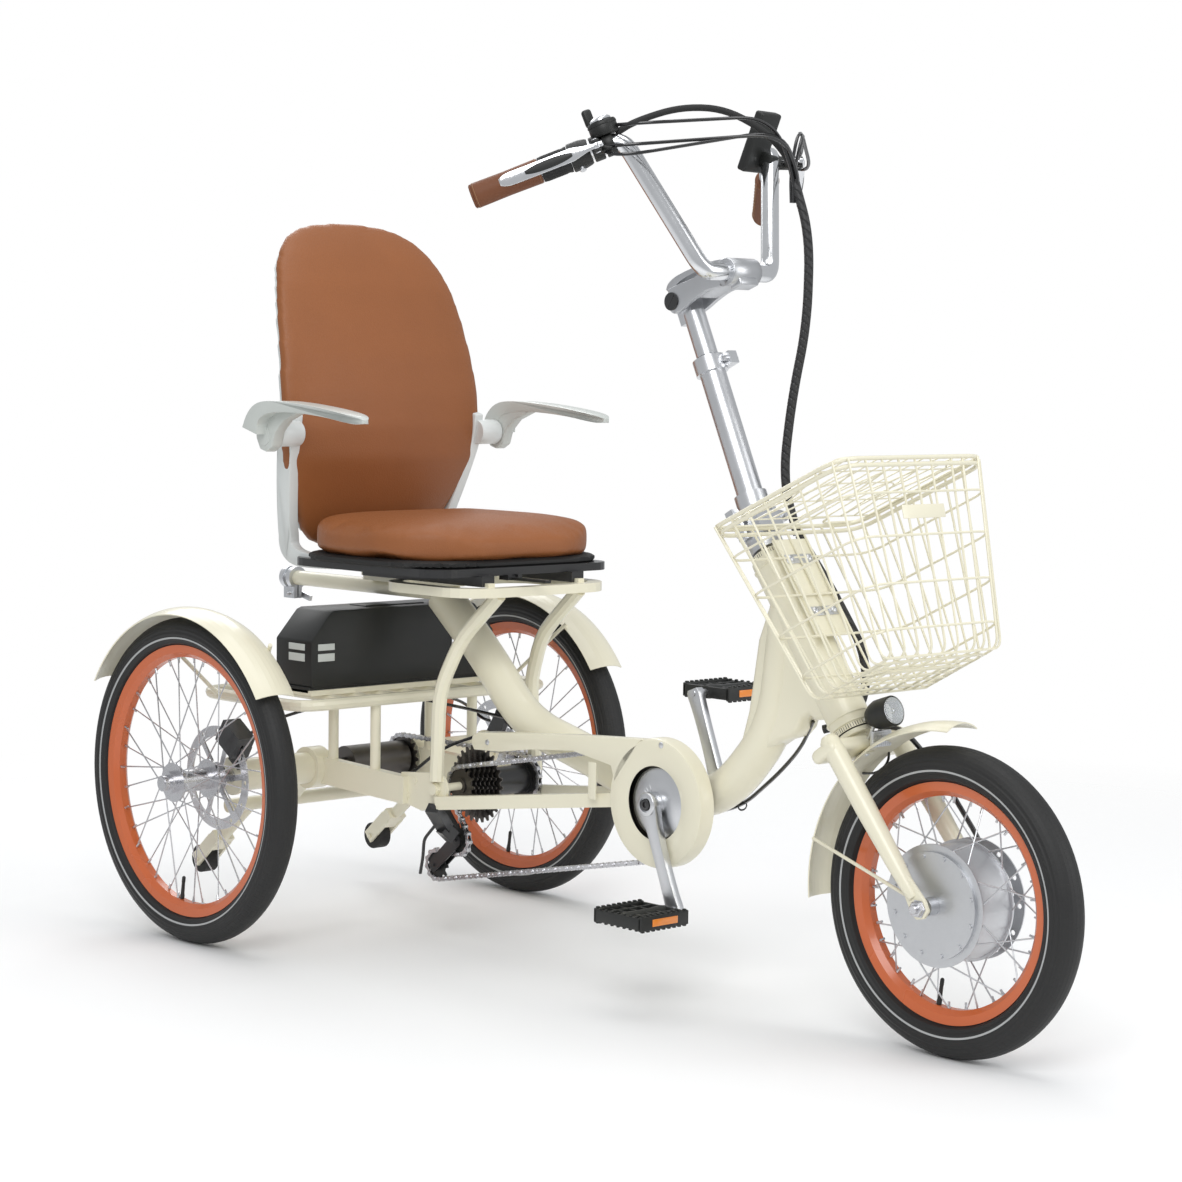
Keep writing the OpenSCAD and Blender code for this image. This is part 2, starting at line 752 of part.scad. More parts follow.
// Tyre section round a rim of radius rim_r, as [radius, width] points
function tyre_section(r, w, rim_r, n = 20) =
    let (h = (r - rim_r) / 2 + 3, c = r - h)
        concat(
            [for (k = [0:n]) let (t = -128 + 256 * k / n) [c + h * cos(t), w / 2 * sin(t)]],
            [[rim_r, 13], [rim_r, 11.5], [rim_r - 4, 10.5], [rim_r - 4, -10.5], [rim_r, -11.5], [rim_r, -13]]
        );
module tyre(r, w, rim_r) color(black) spin_about_y() rotate_extrude($fn = 120)
    polygon(tyre_section(r, w, rim_r));
module rim(rim_r) color(orange) spin_about_y() rotate_extrude($fn = 120) polygon([
    [rim_r - 19, -6], [rim_r - 19, 6], [rim_r - 12, 13], [rim_r, 15], [rim_r, 12], [rim_r - 5, 11],
    [rim_r - 5, -11], [rim_r, -12], [rim_r, -15], [rim_r - 12, -13]
]);
// Crossed spokes from two hub flanges to the rim
module spokes(flange_r, flange_y, rim_r, lead) {
    for (i = [0:35]) {
        side = i % 2 == 0 ? 1 : -1;
        turn = (floor(i / 2) % 2 == 0 ? 1 : -1) * lead;
        a = 10 * i + turn;
        y = flange_y[side > 0 ? 1 : 0];
        rod([flange_r * cos(a), y, flange_r * sin(a)],
            [rim_r * cos(10 * i), side * 3, rim_r * sin(10 * i)], 1.1, 6);
    }
}
// A brake disc with a ring, arms and a carrier
module brake_disc(y, bore) {
    difference() {
        union() {
            difference() {
                across(y - 1, disc_r, 2, 72);
                across(y - 2, disc_r - 16, 4, 72);
                for (a = [0:30:330]) rotate([0, a, 0]) translate([disc_r - 8, 0, 0]) across(y - 2, 3.5, 4, 16);
            }
            for (a = [0:60:300]) rotate([0, a, 0]) beam([18, y, 0], [disc_r - 15, y, 8], 2, 9);
            across(y - 1, 24, 2);
        }
        across(y - 2, bore, 4);
    }
}
// A rear wheel stands at y 0 with its brake side towards -Y
module rear_hub_shape() color(silver) {
    difference() {
        union() {
            across(-32, 30, 4);
            across(32, 30, 4);
            across(-46, 17, 92);
            across(46, 12, 10);
        }
        across(-60, 10, 112);
    }
    brake_disc(disc_y - wheel_y, 17);
    spokes(26, [-30, 34], rear_rim_r - 18, 54);
}
module rear_wheel_at(side) {
    translate([0, side * wheel_y, rear_axle_z]) mirror([0, side > 0 ? 0 : 1, 0]) children();
}
module rear_right_tyre() rear_wheel_at(-1) tyre(rear_tyre_r, rear_tyre_w, rear_rim_r);
module rear_right_rim() rear_wheel_at(-1) rim(rear_rim_r);
module rear_right_hub() {
    rear_wheel_at(-1) rear_hub_shape();
    color(silver) translate([0, 0, rear_axle_z]) across(-wheel_y - 57, 10, wheel_y + 57 - 76);
}
module rear_left_tyre() rear_wheel_at(1) tyre(rear_tyre_r, rear_tyre_w, rear_rim_r);
module rear_left_rim() rear_wheel_at(1) rim(rear_rim_r);
module rear_left_hub() rear_wheel_at(1) rear_hub_shape();
// The driven shaft, its sprocket and the drive body beside it
module drive_axle() translate([0, 0, rear_axle_z]) {
    color(silver) across(-74, 10, wheel_y + 57 + 74);
    color(black) {
        ring(-40, 28, 10, 115);
        ring(75, 22, 10, 10);
        sprocket(axle_chain_y, axle_teeth, 20);
    }
}
module front_tyre() front_wheel_at() tyre(front_tyre_r, front_tyre_w, front_rim_r);
module front_rim() front_wheel_at() rim(front_rim_r);
module front_hub() front_wheel_at() color(silver) {
    difference() {
        union() {
            across(-42, motor_r - 6, 71);
            across(-36, motor_r, 59);
            for (y = [-38, 22]) across(y, motor_r + 4, 3);
            across(-58, 12, 16);
            across(29, 24, 30);
            for (a = [15:30:345]) rotate([0, a, 0]) translate([motor_r - 11, 0, 0]) across(-44, 3, 3, 12);
        }
        across(-62, 6 + fit, 124);
    }
    brake_disc(47, 24);
    spokes(motor_r + 1, [-36.5, 23.5], front_rim_r - 18, 22);
}
module front_wheel_at() translate([wheelbase, 0, front_tyre_r]) children();

// ---- Pedals and chains ----

pedal_y = [-88, -186];
module crank_set() translate([bb_x, 0, bb_z]) {
    color(silver) {
        across(-70, 8, 140);
        for (side = [-1, 1]) rotate([0, side > 0 ? 180 - right_crank : -right_crank, 0]) {
            upright(side > 0 ? 66 : -78, 12) polygon(link_outline([0, 0], [crank_len, 0], 17, 12));
            translate([crank_len, 0, 0]) across(side > 0 ? 66 : -186, 5, 120);
        }
        ring(-56, 45, 8, 4);
    }
    color(black) {
        difference() {
            upright(chain_y - 1, 2) polygon(sprocket_outline(ring_teeth));
            for (a = [36:72:360]) rotate([0, a, 0]) translate([57, 0, 0]) across(chain_y - 2, 11, 4);
        }
        ring(-66, 20, 8, 19);
    }
}
module pedal_body(side) {
    a = side < 0 ? right_crank : right_crank + 180;
    y = side < 0 ? -184 : 92;
    translate([bb_x + crank_len * cos(a), y, bb_z + crank_len * sin(a)]) color(black) difference() {
        union() {
            translate([-47, 0, -11]) cube([94, 92, 22]);
        }
        for (x = [-38, 14]) translate([x, 10, -20]) cube([24, 72, 40]);
        across(-10, 5 + fit, 120);
    }
}
module pedal_right() pedal_body(-1);
module pedal_left() pedal_body(1);

module cassette() translate([jack_x, 0, jack_z]) color(silver) {
    ring(-50, 12, 6 + fit, 40);
    for (i = [0:6]) sprocket(chain_y + i * 5.4, [14, 16, 18, 20, 22, 24, 28][i] + small_teeth - 14, 10);
}
module jackshaft_hub() translate([jack_x, 0, jack_z]) color(black) {
    ring(-9, 22, 6 + fit, 84);
    ring(-8, 30, 20, 5);
    sprocket(axle_chain_y, axle_teeth, 20);
    ring(74, 24, 6 + fit, 8);
}
module pulley(at) translate([at.x, 0, at.y]) color(black) {
    sprocket(chain_y, pulley_teeth, 2.5 + fit);
    ring(chain_y - 4, 9, 2.5 + fit, 8);
}
module guide_pulley() pulley(guide_pulley_at);
module tension_pulley() pulley(tension_pulley_at);

module roller(side) color(black) translate([roller_at.x, side * roller_at.y, roller_at.z])
    ring(-11, 22, 4 + fit, 22);
module roller_right() roller(-1);
module roller_left() roller(1);

// ---- Seat ----

module seat_pan() color(black) {
    translate([210, 0, 577]) linear_extrude(12) polygon(round_rect(360, 360, 40));
    both_sides() translate([120, 90, 0]) difference() {
        translate([0, -12, seat_z + gap]) cube([282, 24, 16]);
        translate([-1, -6 - gap - 0.4, seat_z - 1]) cube([284, 13.4, 7.5]);
    }
    translate([376, -46, 570]) cube([20, 8, 8]);
    translate([376, -26, 570]) cube([20, 8, 8]);
    translate([388, 0, 573]) across(-46, 2.5, 28, 24);
}
module seat_release() color(black) {
    difference() {
        union() {
            translate([388, 0, 573]) across(-37.5, 3.9, 11, 24);
            translate([388, -37.5, 570]) cube([82, 11, 4]);
        }
        translate([388, 0, 573]) across(-40, 2.5 + fit, 16, 24);
    }
}
module seat_cushion() color(tan_leather) translate([40 + cushion_l / 2, 0, 589])
    linear_extrude(cushion_h) polygon(round_rect(cushion_l, cushion_w, 70));

// The side view of the back: a curve of [x, z] points
back_curve = bend([[12, 640], [46, 740], [50, 800], [36, 900], [0, 1010], [-40, 1080], [-60, 1112]], 14, 2);
// Half the width of the back at a height
function back_half(z) = lookup(z, [[598, 120], [625, 134], [660, 158], [700, 182], [760, 203], [850, 200],
    [950, 190], [1020, 178], [1070, 158], [1095, 138], [1112, 104]]);
function curve_normal(i) =
    let (last = len(back_curve) - 1, t = unit(back_curve[min(i + 1, last)] - back_curve[max(i - 1, 0)]))
        [t.y, -t.x];
function back_band(front, rear) = concat(
    [for (i = [0:len(back_curve) - 1]) back_curve[i] + front * curve_normal(i)],
    [for (i = [len(back_curve) - 1:-1:0]) back_curve[i] + rear * curve_normal(i)]
);
module back_outline(inset) {
    rotate([90, 0, 90]) translate([0, 0, -120]) linear_extrude(260) polygon(concat(
        [for (z = [620:40:1100]) [back_half(z) - inset, z]],
        [[back_half(1112) - inset, 1113 - inset], [inset - back_half(1112), 1113 - inset]],
        [for (z = [1100:-40:620]) [inset - back_half(z), z]]
    ));
}
module back_cushion() color(tan_leather) intersection() {
    upright(-220, 440) polygon(back_band(17, -9));
    back_outline(6);
}
// The side arm's outline: down behind the back, then forward under the seat
side_arm = [[14, 802], [-48, 642], [-57, 612], [-50, 590], [-32, 577], [200, 577], [200, 588], [-22, 588],
    [-34, 598], [-37, 614], [-28, 640], [42, 770], [62, 802]];
module back_shell() color(grey_white) {
    intersection() {
        upright(-220, 440) polygon(back_band(-9.5, -16));
        back_outline(0);
    }
    both_sides() {
        upright(182, 8) polygon(side_arm);
        translate([60, 160, 578]) cube([60, 26, 8]);
        translate([armrest_at.x, 0, armrest_at.z]) {
            across(180, 20, 41);
            across(218, 8, 28);
        }
    }
}
module armrest(side) color(grey_white) mirror([0, side > 0 ? 0 : 1, 0])
    translate([armrest_at.x, armrest_at.y, armrest_at.z]) difference() {
        union() {
            across(-11, 22, 24);
            upright(-11, 40) polygon([[-20, 6], [-12, 26], [20, 42], [150, 42], [232, 38], [244, 28], [238, 16],
                [150, 16], [60, 12], [20, -8]]);
        }
        across(-20, 8 + fit, 40);
    }
module armrest_right() armrest(-1);
module armrest_left() armrest(1);

lid_points = [basket_rim[0] + [6, -0.6], basket_rim[1] + [-1, 0.7]];
module basket_lid() color(cream) steered() difference() {
    union() {
        upright(-148, 296) polygon([lid_points[0], lid_points[1], lid_points[1] + [0, 3], lid_points[0] + [0, 3]]);
        for (y = [-96.5, 86]) {
            translate([lid_hinge.x, 0, lid_hinge.y]) across(y, 3.6, 10.5, 24);
            translate([lid_hinge.x + 1, y, 299.2]) cube([16, 10.5, 2.6]);
        }
    }
    for (y = [-98, 84]) translate([lid_hinge.x, 0, lid_hinge.y]) across(y, 1.8 + fit, 14, 24);
    translate([30, 34, 280]) cube([34, 30, 40]);
}
module battery() color(black) translate([10, 0, 0]) rotate([90, 0, 90]) linear_extrude(90) polygon([
    [-185, 388], [185, 388], [185, 468], [145, 508], [-145, 508], [-185, 468]
]);

place() head_tube();
place() main_tube();
place() rear_subframe();
place() axle_housing();
place() rack_frame();
place() antitip_bar();
place() seat_platform();
place() socket_clamp();
place() rear_fenders();
place() chain_guard();
place() basket();
place() chains();
place() derailleur();
place() rear_calipers();
place() cable_loom();
place() fork();
place() front_fender();
place() headlight();
place() hinge_base();
place() control_cables();
place() handlebar_post();
place() fold_latch();
place() bar_riser();
place() bar_stem();
place() handlebar();
place() grips();
place() bar_controls();
place() stem_lock_lever();
place() brake_lever_right();
place() brake_lever_left();
place() shifter_lever();
place() throttle_sleeve();
place() front_tyre();
place() front_rim();
place() front_hub();
place() rear_right_tyre();
place() rear_right_rim();
place() rear_right_hub();
place() rear_left_tyre();
place() rear_left_rim();
place() rear_left_hub();
place() drive_axle();
place() crank_set();
place() pedal_right();
place() pedal_left();
place() cassette();
place() jackshaft_hub();
place() guide_pulley();
place() tension_pulley();
place() roller_right();
place() roller_left();
place() seat_pan();
place() seat_cushion();
place() back_shell();
place() back_cushion();
place() armrest_right();
place() armrest_left();
place() seat_release();
place() basket_lid();
place() battery();
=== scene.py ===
# %% [markdown]
# # An adult tricycle
# The imported model is the frame of this scene: every CAD node is already in its place, in metres, with X
# forward, Y to the rider's left and Z up. This lesson gives those nodes their finishes, and models
# what the CAD leaves plain: the cushions, the wire basket, the chains, the cables and the small fittings.

# %% Load the frame
import json
import math
import bmesh
import bpy
from mathutils import Matrix, Vector


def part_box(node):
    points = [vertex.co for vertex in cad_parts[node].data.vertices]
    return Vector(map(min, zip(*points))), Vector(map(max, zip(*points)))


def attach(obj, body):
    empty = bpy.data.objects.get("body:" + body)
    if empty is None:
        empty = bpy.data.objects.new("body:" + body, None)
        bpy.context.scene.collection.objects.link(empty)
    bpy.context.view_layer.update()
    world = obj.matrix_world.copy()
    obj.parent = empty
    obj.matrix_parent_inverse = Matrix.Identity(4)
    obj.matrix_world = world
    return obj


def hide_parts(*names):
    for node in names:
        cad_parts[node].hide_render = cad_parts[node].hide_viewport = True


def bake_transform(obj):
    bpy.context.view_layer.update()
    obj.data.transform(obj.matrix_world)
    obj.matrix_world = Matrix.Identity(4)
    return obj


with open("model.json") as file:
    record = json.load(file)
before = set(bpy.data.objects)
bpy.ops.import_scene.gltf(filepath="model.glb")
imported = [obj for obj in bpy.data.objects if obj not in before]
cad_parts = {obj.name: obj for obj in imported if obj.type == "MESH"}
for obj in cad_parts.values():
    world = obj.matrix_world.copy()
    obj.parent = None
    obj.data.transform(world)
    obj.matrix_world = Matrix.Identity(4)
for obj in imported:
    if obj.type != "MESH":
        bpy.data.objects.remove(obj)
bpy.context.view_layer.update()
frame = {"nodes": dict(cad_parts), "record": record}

nodes = frame["nodes"]
joints = {j["name"]: j for j in frame["record"]["behaviour"]["joints"]}


def joint_at(name):
    return Vector(joints[name]["pos_m"])


print("axles at", tuple(joint_at("rear_right_wheel_spin")), tuple(joint_at("front_wheel_spin")))

# %% [markdown]
# Every operator works on what is selected, so each step starts by clearing the selection. A finished piece
# has its place in its mesh and its object at the origin, as the CAD nodes have.

# %% Selecting, finishing and placing a piece
def pick(obj):
    bpy.ops.object.select_all(action="DESELECT")
    obj.select_set(True)
    bpy.context.view_layer.objects.active = obj
    return obj


def settle(obj):
    """Puts the object's place into its mesh."""
    pick(obj)
    bpy.ops.object.transform_apply(location=True, rotation=True, scale=True)
    return obj


def modify(obj, kind, **settings):
    pick(obj)
    m = obj.modifiers.new(kind.lower(), kind)
    for key, value in settings.items():
        setattr(m, key, value)
    bpy.ops.object.modifier_apply(modifier=m.name)
    return obj


def outwards(obj):
    pick(obj)
    bpy.ops.object.mode_set(mode="EDIT")
    bpy.ops.mesh.select_all(action="SELECT")
    bpy.ops.mesh.remove_doubles(threshold=1e-6)
    bpy.ops.mesh.normals_make_consistent(inside=False)
    bpy.ops.object.mode_set(mode="OBJECT")
    return obj


def join(name, parts):
    bpy.ops.object.select_all(action="DESELECT")
    for p in parts:
        p.select_set(True)
    bpy.context.view_layer.objects.active = parts[0]
    bpy.ops.object.join()
    parts[0].name = name
    return parts[0]


def piece(obj, name, body, finish, angle=40):
    """The last step for a new piece: smooth shading, its finish, and the body that it moves with."""
    settle(obj)
    obj.name = obj.data.name = name
    bpy.ops.object.shade_smooth_by_angle(angle=math.radians(angle))
    obj.data.materials.clear()
    obj.data.materials.append(finish)
    if body:
        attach(obj, body)
    return obj


# %% [markdown]
# Tubes, wires and cables all come from one curve with a round bevel, turned into a mesh. A bend is a few
# points on a short curve round each corner, as the tube bender leaves it.

# %% Tubes along points
def rounded(points, r, n=5):
    """The points with each inner corner replaced by a short curve that starts r before it."""
    points = [Vector(p) for p in points]
    out = [points[0]]
    for a, b, c in zip(points, points[1:], points[2:]):
        start = b + (a - b).normalized() * min(r, (a - b).length * 0.5)
        end = b + (c - b).normalized() * min(r, (c - b).length * 0.5)
        for k in range(n + 1):
            t = k / n
            out.append(start * (1 - t) ** 2 + b * (2 * t * (1 - t)) + end * t * t)
    return out + [points[-1]]


def tubes(paths, r, sides=12, closed=False):
    """One mesh with a round tube along each list of points."""
    bpy.ops.object.select_all(action="DESELECT")
    bpy.ops.curve.primitive_nurbs_path_add()
    obj = bpy.context.object
    curve = obj.data
    curve.splines.clear()
    for path in paths:
        spline = curve.splines.new("POLY")
        spline.points.add(len(path) - 1)
        spline.points.foreach_set("co", [v for p in path for v in (*p, 1.0)])
        spline.use_cyclic_u = closed
    curve.dimensions = "3D"
    curve.twist_mode = "MINIMUM"
    curve.bevel_depth = r
    curve.bevel_resolution = max(0, sides // 4 - 1)
    curve.use_fill_caps = True
    pick(obj)
    bpy.ops.object.convert(target="MESH")
    return bpy.context.object


# %% [markdown]
# Turned pieces start as a half outline of radius and height, and a Screw modifier sweeps it round its axis.
# Boxes start as a cube whose edges are bevelled, because no moulded or machined edge is sharp.

# %% Turned pieces and rounded boxes
def turned(outline, at, axis=(0, 1, 0), steps=48):
    """A solid of revolution: outline is a list of (radius, height along the axis)."""
    mesh = bpy.data.meshes.new("outline")
    mesh.from_pydata([(r, 0, h) for r, h in outline], [(i, i + 1) for i in range(len(outline) - 1)], [])
    obj = bpy.data.objects.new("turned", mesh)
    bpy.context.collection.objects.link(obj)
    modify(obj, "SCREW", axis="Z", steps=steps, render_steps=steps, use_merge_vertices=True,
           merge_threshold=1e-6)
    obj.rotation_mode = "QUATERNION"
    obj.rotation_quaternion = Vector(axis).to_track_quat("Z", "Y")
    obj.location = at
    settle(obj)
    return outwards(obj)


def box(low, high, bevel=0.002, segments=3, turn=None):
    """A box between two corners with rounded edges; turn is (centre, axis, degrees)."""
    low, high = Vector(low), Vector(high)
    bpy.ops.object.select_all(action="DESELECT")
    bpy.ops.mesh.primitive_cube_add(size=1, location=(low + high) / 2)
    obj = bpy.context.object
    obj.scale = high - low
    settle(obj)
    if bevel:
        modify(obj, "BEVEL", width=bevel, segments=segments, limit_method="ANGLE")
    if turn:
        centre, axis, angle = turn
        m = Matrix.Translation(centre) @ Matrix.Rotation(math.radians(angle), 4, axis)
        obj.data.transform(m @ Matrix.Translation(-Vector(centre)))
    return obj


def plate(outline, thickness, at=None, bevel=0.0):
    """A flat plate in the XZ plane from its outline of (x, z); it stands from y to y + thickness."""
    y, points = (at or 0.0), list(outline)
    mesh = bpy.data.meshes.new("plate")
    mesh.from_pydata([(x, y, z) for x, z in points], [], [list(range(len(points)))])
    obj = bpy.data.objects.new("plate", mesh)
    bpy.context.collection.objects.link(obj)
    pick(obj)
    bpy.ops.object.mode_set(mode="EDIT")
    bpy.ops.mesh.select_all(action="SELECT")
    bpy.ops.mesh.extrude_region_move(TRANSFORM_OT_translate={"value": (0, thickness, 0)})
    bpy.ops.object.mode_set(mode="OBJECT")
    outwards(obj)
    if bevel:
        modify(obj, "BEVEL", width=bevel, segments=2, limit_method="ANGLE")
    return obj


def mirrored(obj):
    """A copy on the other side of the middle plane."""
    twin = obj.copy()
    twin.data = obj.data.copy()
    bpy.context.collection.objects.link(twin)
    twin.data.transform(Matrix.Scale(-1, 4, (0, 1, 0)))
    return outwards(twin)


# %% [markdown]
# Shader maths reads like ordinary maths when a small class wraps a socket and overloads the operators.

# %% Shader maths
class Value:
    def __init__(self, tree, socket):
        self.tree, self.socket = tree, socket

    def math(self, operation, *others, clamp=False):
        n = self.tree.nodes.new("ShaderNodeMath")
        n.operation, n.use_clamp = operation, clamp
        for i, v in enumerate((self, *others)):
            if isinstance(v, Value):
                self.tree.links.new(v.socket, n.inputs[i])
            else:
                n.inputs[i].default_value = v
        return Value(self.tree, n.outputs[0])

    def lift(self, v):
        n = self.tree.nodes.new("ShaderNodeMath")
        n.operation = "ADD"
        n.inputs[0].default_value, n.inputs[1].default_value = v, 0
        return Value(self.tree, n.outputs[0])

    def __add__(self, o): return self.math("ADD", o)
    def __radd__(self, o): return self.math("ADD", o)
    def __sub__(self, o): return self.math("SUBTRACT", o)
    def __rsub__(self, o): return self.lift(o).math("SUBTRACT", self)
    def __mul__(self, o): return self.math("MULTIPLY", o)
    def __rmul__(self, o): return self.math("MULTIPLY", o)
    def __truediv__(self, o): return self.math("DIVIDE", o)
    def __lt__(self, o): return self.math("LESS_THAN", o)
    def __gt__(self, o): return self.math("GREATER_THAN", o)


class Finish:
    """A Principled material whose nodes are added by name, with settings first and then inputs."""

    def __init__(self, name, color, roughness=0.5, metallic=0.0, **fixed):
        self.material = bpy.data.materials.new(name)
        self.material.use_nodes = True
        self.tree = self.material.node_tree
        self.shader = self.tree.nodes["Principled BSDF"]
        self.set("Base Color", (*color, 1))
        self.set("Roughness", roughness)
        self.set("Metallic", metallic)
        for key, value in fixed.items():
            self.set(key.replace("_", " "), value)
        self.place = self.node("ShaderNodeTexCoord").outputs["Object"]

    def set(self, name, value):
        if isinstance(value, Value):
            self.tree.links.new(value.socket, self.shader.inputs[name])
        elif hasattr(value, "is_output"):
            self.tree.links.new(value, self.shader.inputs[name])
        else:
            self.shader.inputs[name].default_value = value

    def node(self, kind, settings=None, **inputs):
        n = self.tree.nodes.new(kind)
        for key, value in (settings or {}).items():
            setattr(n, key, value)
        for key, value in inputs.items():
            socket = n.inputs[key.replace("_", " ")] if isinstance(key, str) else n.inputs[key]
            if isinstance(value, Value):
                self.tree.links.new(value.socket, socket)
            elif hasattr(value, "is_output"):
                self.tree.links.new(value, socket)
            else:
                socket.default_value = value
        return n

    def noise(self, scale, detail=3.0, roughness=0.5, place=None):
        n = self.node("ShaderNodeTexNoise", Vector=place or self.place, Scale=scale, Detail=detail,
                      Roughness=roughness)
        return Value(self.tree, n.outputs[0])

    def cells(self, scale, feature="F1", place=None):
        n = self.node("ShaderNodeTexVoronoi", {"feature": feature}, Vector=place or self.place, Scale=scale)
        return Value(self.tree, n.outputs["Distance"])

    def stretched(self, scale):
        return self.node("ShaderNodeMapping", Vector=self.place, Scale=scale).outputs[0]

    def apart(self, socket=None):
        n = self.node("ShaderNodeSeparateXYZ", Vector=socket or self.place)
        return [Value(self.tree, n.outputs[i]) for i in range(3)]

    def blend_color(self, mask, a, b):
        n = self.tree.nodes.new("ShaderNodeMix")
        n.data_type = "RGBA"
        ins = [s for s in n.inputs if s.enabled]
        for socket, value in zip(ins, (mask, a, b)):
            if isinstance(value, Value):
                self.tree.links.new(value.socket, socket)
            elif hasattr(value, "is_output"):
                self.tree.links.new(value, socket)
            else:
                socket.default_value = (*value, 1) if isinstance(value, tuple) and len(value) == 3 else value
        return [s for s in n.outputs if s.enabled][0]

    def bump(self, height, depth, strength=1.0):
        n = self.node("ShaderNodeBump", Height=height, Distance=depth, Strength=strength)
        self.set("Normal", n.outputs[0])


def shade(color, k):
    return tuple(min(1.0, c * k) for c in color)


# %% [markdown]
# The frame is powder coated in a warm cream with a faint orange peel and a clear gloss. The same recipe in
# orange makes the rims. Cast and machined aluminium differ by their grain: cast is mottled, drawn is smooth.

# %% Paints and metals
def paint(name, color, gloss=0.32, peel=0.00012):
    f = Finish(name, color, gloss, Coat_Weight=0.35, Coat_Roughness=0.12)
    cloud = f.noise(6, 4)
    f.set("Base Color", f.blend_color(cloud, shade(color, 0.97), shade(color, 1.02)))
    f.set("Roughness", cloud * 0.12 + (gloss - 0.06))
    f.bump(f.noise(520, 2), peel, 0.35)
    return f.material


def metal(name, color, rough=0.3, grain=900, depth=0.00008, stretch=None):
    f = Finish(name, color, rough, 1.0)
    place = f.stretched(stretch) if stretch else None
    cloud = f.noise(grain, 4, place=place)
    wear = f.noise(24, 3)
    f.set("Base Color", f.blend_color(wear, shade(color, 0.9), shade(color, 1.05)))
    f.set("Roughness", cloud * 0.18 + wear * 0.1 + (rough - 0.14))
    f.bump(cloud, depth, 0.5)
    return f.material


cream = paint("cream_paint", (0.84, 0.80, 0.63))
orange = paint("orange_paint", (0.60, 0.13, 0.035), 0.26)
silver = metal("silver_metal", (0.72, 0.73, 0.75), 0.32)
cast = metal("cast_aluminium", (0.62, 0.63, 0.65), 0.42, 260, 0.00025)
chrome = metal("polished_metal", (0.80, 0.81, 0.83), 0.16, 300, 0.00001)
steel = metal("spoke_steel", (0.62, 0.62, 0.64), 0.28, 700, 0.00002)
dark_steel = metal("dark_metal", (0.13, 0.122, 0.115), 0.40, 500, 0.0001)

# %% [markdown]
# Moulded plastic has a fine spark-eroded grain, and rubber a softer one with no gloss at all.

# %% Plastics and rubber
def moulded(name, color, rough=0.5, grain=1600, depth=0.00006, coat=0.0):
    f = Finish(name, color, rough, Coat_Weight=coat, Coat_Roughness=0.2)
    cloud = f.noise(9, 3)
    f.set("Base Color", f.blend_color(cloud, shade(color, 0.9), shade(color, 1.1)))
    f.set("Roughness", cloud * 0.14 + (rough - 0.07))
    f.bump(f.cells(grain), depth, 0.5)
    return f.material


black_paint = paint("black_paint", (0.016, 0.016, 0.017), 0.34)
black_plastic = moulded("black_plastic", (0.014, 0.015, 0.014), 0.46)
black_gloss = moulded("black_gloss", (0.012, 0.012, 0.013), 0.14, 200, 0.00001, 0.6)
rubber = moulded("black_rubber", (0.015, 0.015, 0.015), 0.68, 900, 0.0001)
grey_plastic = moulded("grey_plastic", (0.60, 0.63, 0.60), 0.36, 1500, 0.00005, 0.2)
white_plastic = moulded("white_plastic", (0.74, 0.77, 0.76), 0.32, 1500, 0.00004, 0.2)
amber = moulded("amber_reflector", (0.85, 0.26, 0.03), 0.18, 420, 0.0004, 0.8)
clear = Finish("clear_lens", (0.95, 0.97, 0.98), 0.04, Transmission_Weight=0.85, IOR=1.49).material

# %% [markdown]
# A tyre's pattern follows its wheel, so its finish works out the distance and the angle round the hub. The
# tread is rows of small blocks, and a thin grey reflecting line runs round the sidewall.

# %% Tyre rubber
def tyre_rubber(name, hub, radius, width, stripe):
    f = Finish(name, (0.03, 0.03, 0.031), 0.62)
    centred = f.node("ShaderNodeMapping", Vector=f.place, Location=(-hub.x, -hub.y, -hub.z)).outputs[0]
    x, y, z = f.apart(centred)
    far = (x * x + z * z).math("SQRT")
    turn = x.math("ARCTAN2", z) * (radius / 0.012)
    rows = (y * (6.0 / width)).math("FLOOR")
    blocks = ((turn + rows * 0.5).math("FRACT") > 0.26) * ((y * (6.0 / width)).math("FRACT") > 0.16)
    tread = (far > (radius - 0.013)) * 1.0
    ribs = (far * 900).math("SINE") * 0.12
    line = ((far - stripe).math("ABSOLUTE") < 0.0013) * 1.0
    dust = f.noise(30, 4)
    black = f.blend_color(dust, (0.008, 0.008, 0.009), (0.017, 0.017, 0.016))
    f.set("Base Color", f.blend_color(line, black, (0.42, 0.43, 0.43)))
    f.set("Roughness", dust * 0.18 + 0.5 - line * 0.2)
    f.bump(tread * blocks + ribs * (1 - tread), 0.0035, 1.0)
    return f.material


# %% [markdown]
# The seat is covered in tan leather: a pebbled grain of small cells, larger soft colour clouds, and a little
# more gloss on the tops of the grain. The grips use a darker, tighter hide.

# %% Leather
def leather(name, color, grain=420, rough=0.42):
    f = Finish(name, color, rough, Specular_IOR_Level=0.45)
    pebbles = f.cells(grain)
    fine = f.cells(grain * 2.3)
    cloud = f.noise(3.2, 5, 0.6)
    f.set("Base Color", f.blend_color(cloud, shade(color, 0.80), shade(color, 1.18)))
    f.set("Roughness", pebbles * 0.22 + cloud * 0.08 + (rough - 0.09))
    f.bump(pebbles * 0.7 + fine * 0.3, 0.00045, 0.55)
    return f.material


tan = leather("tan_leather", (0.29, 0.098, 0.029))
brown = leather("brown_leather", (0.17, 0.058, 0.022), 700, 0.5)
thread = moulded("leather_thread", (0.30, 0.16, 0.08), 0.7, 2400, 0.0002)

# %% [markdown]
# Each CAD node takes a finish by name. The tyres get one each, because each one is centred on its own hub.

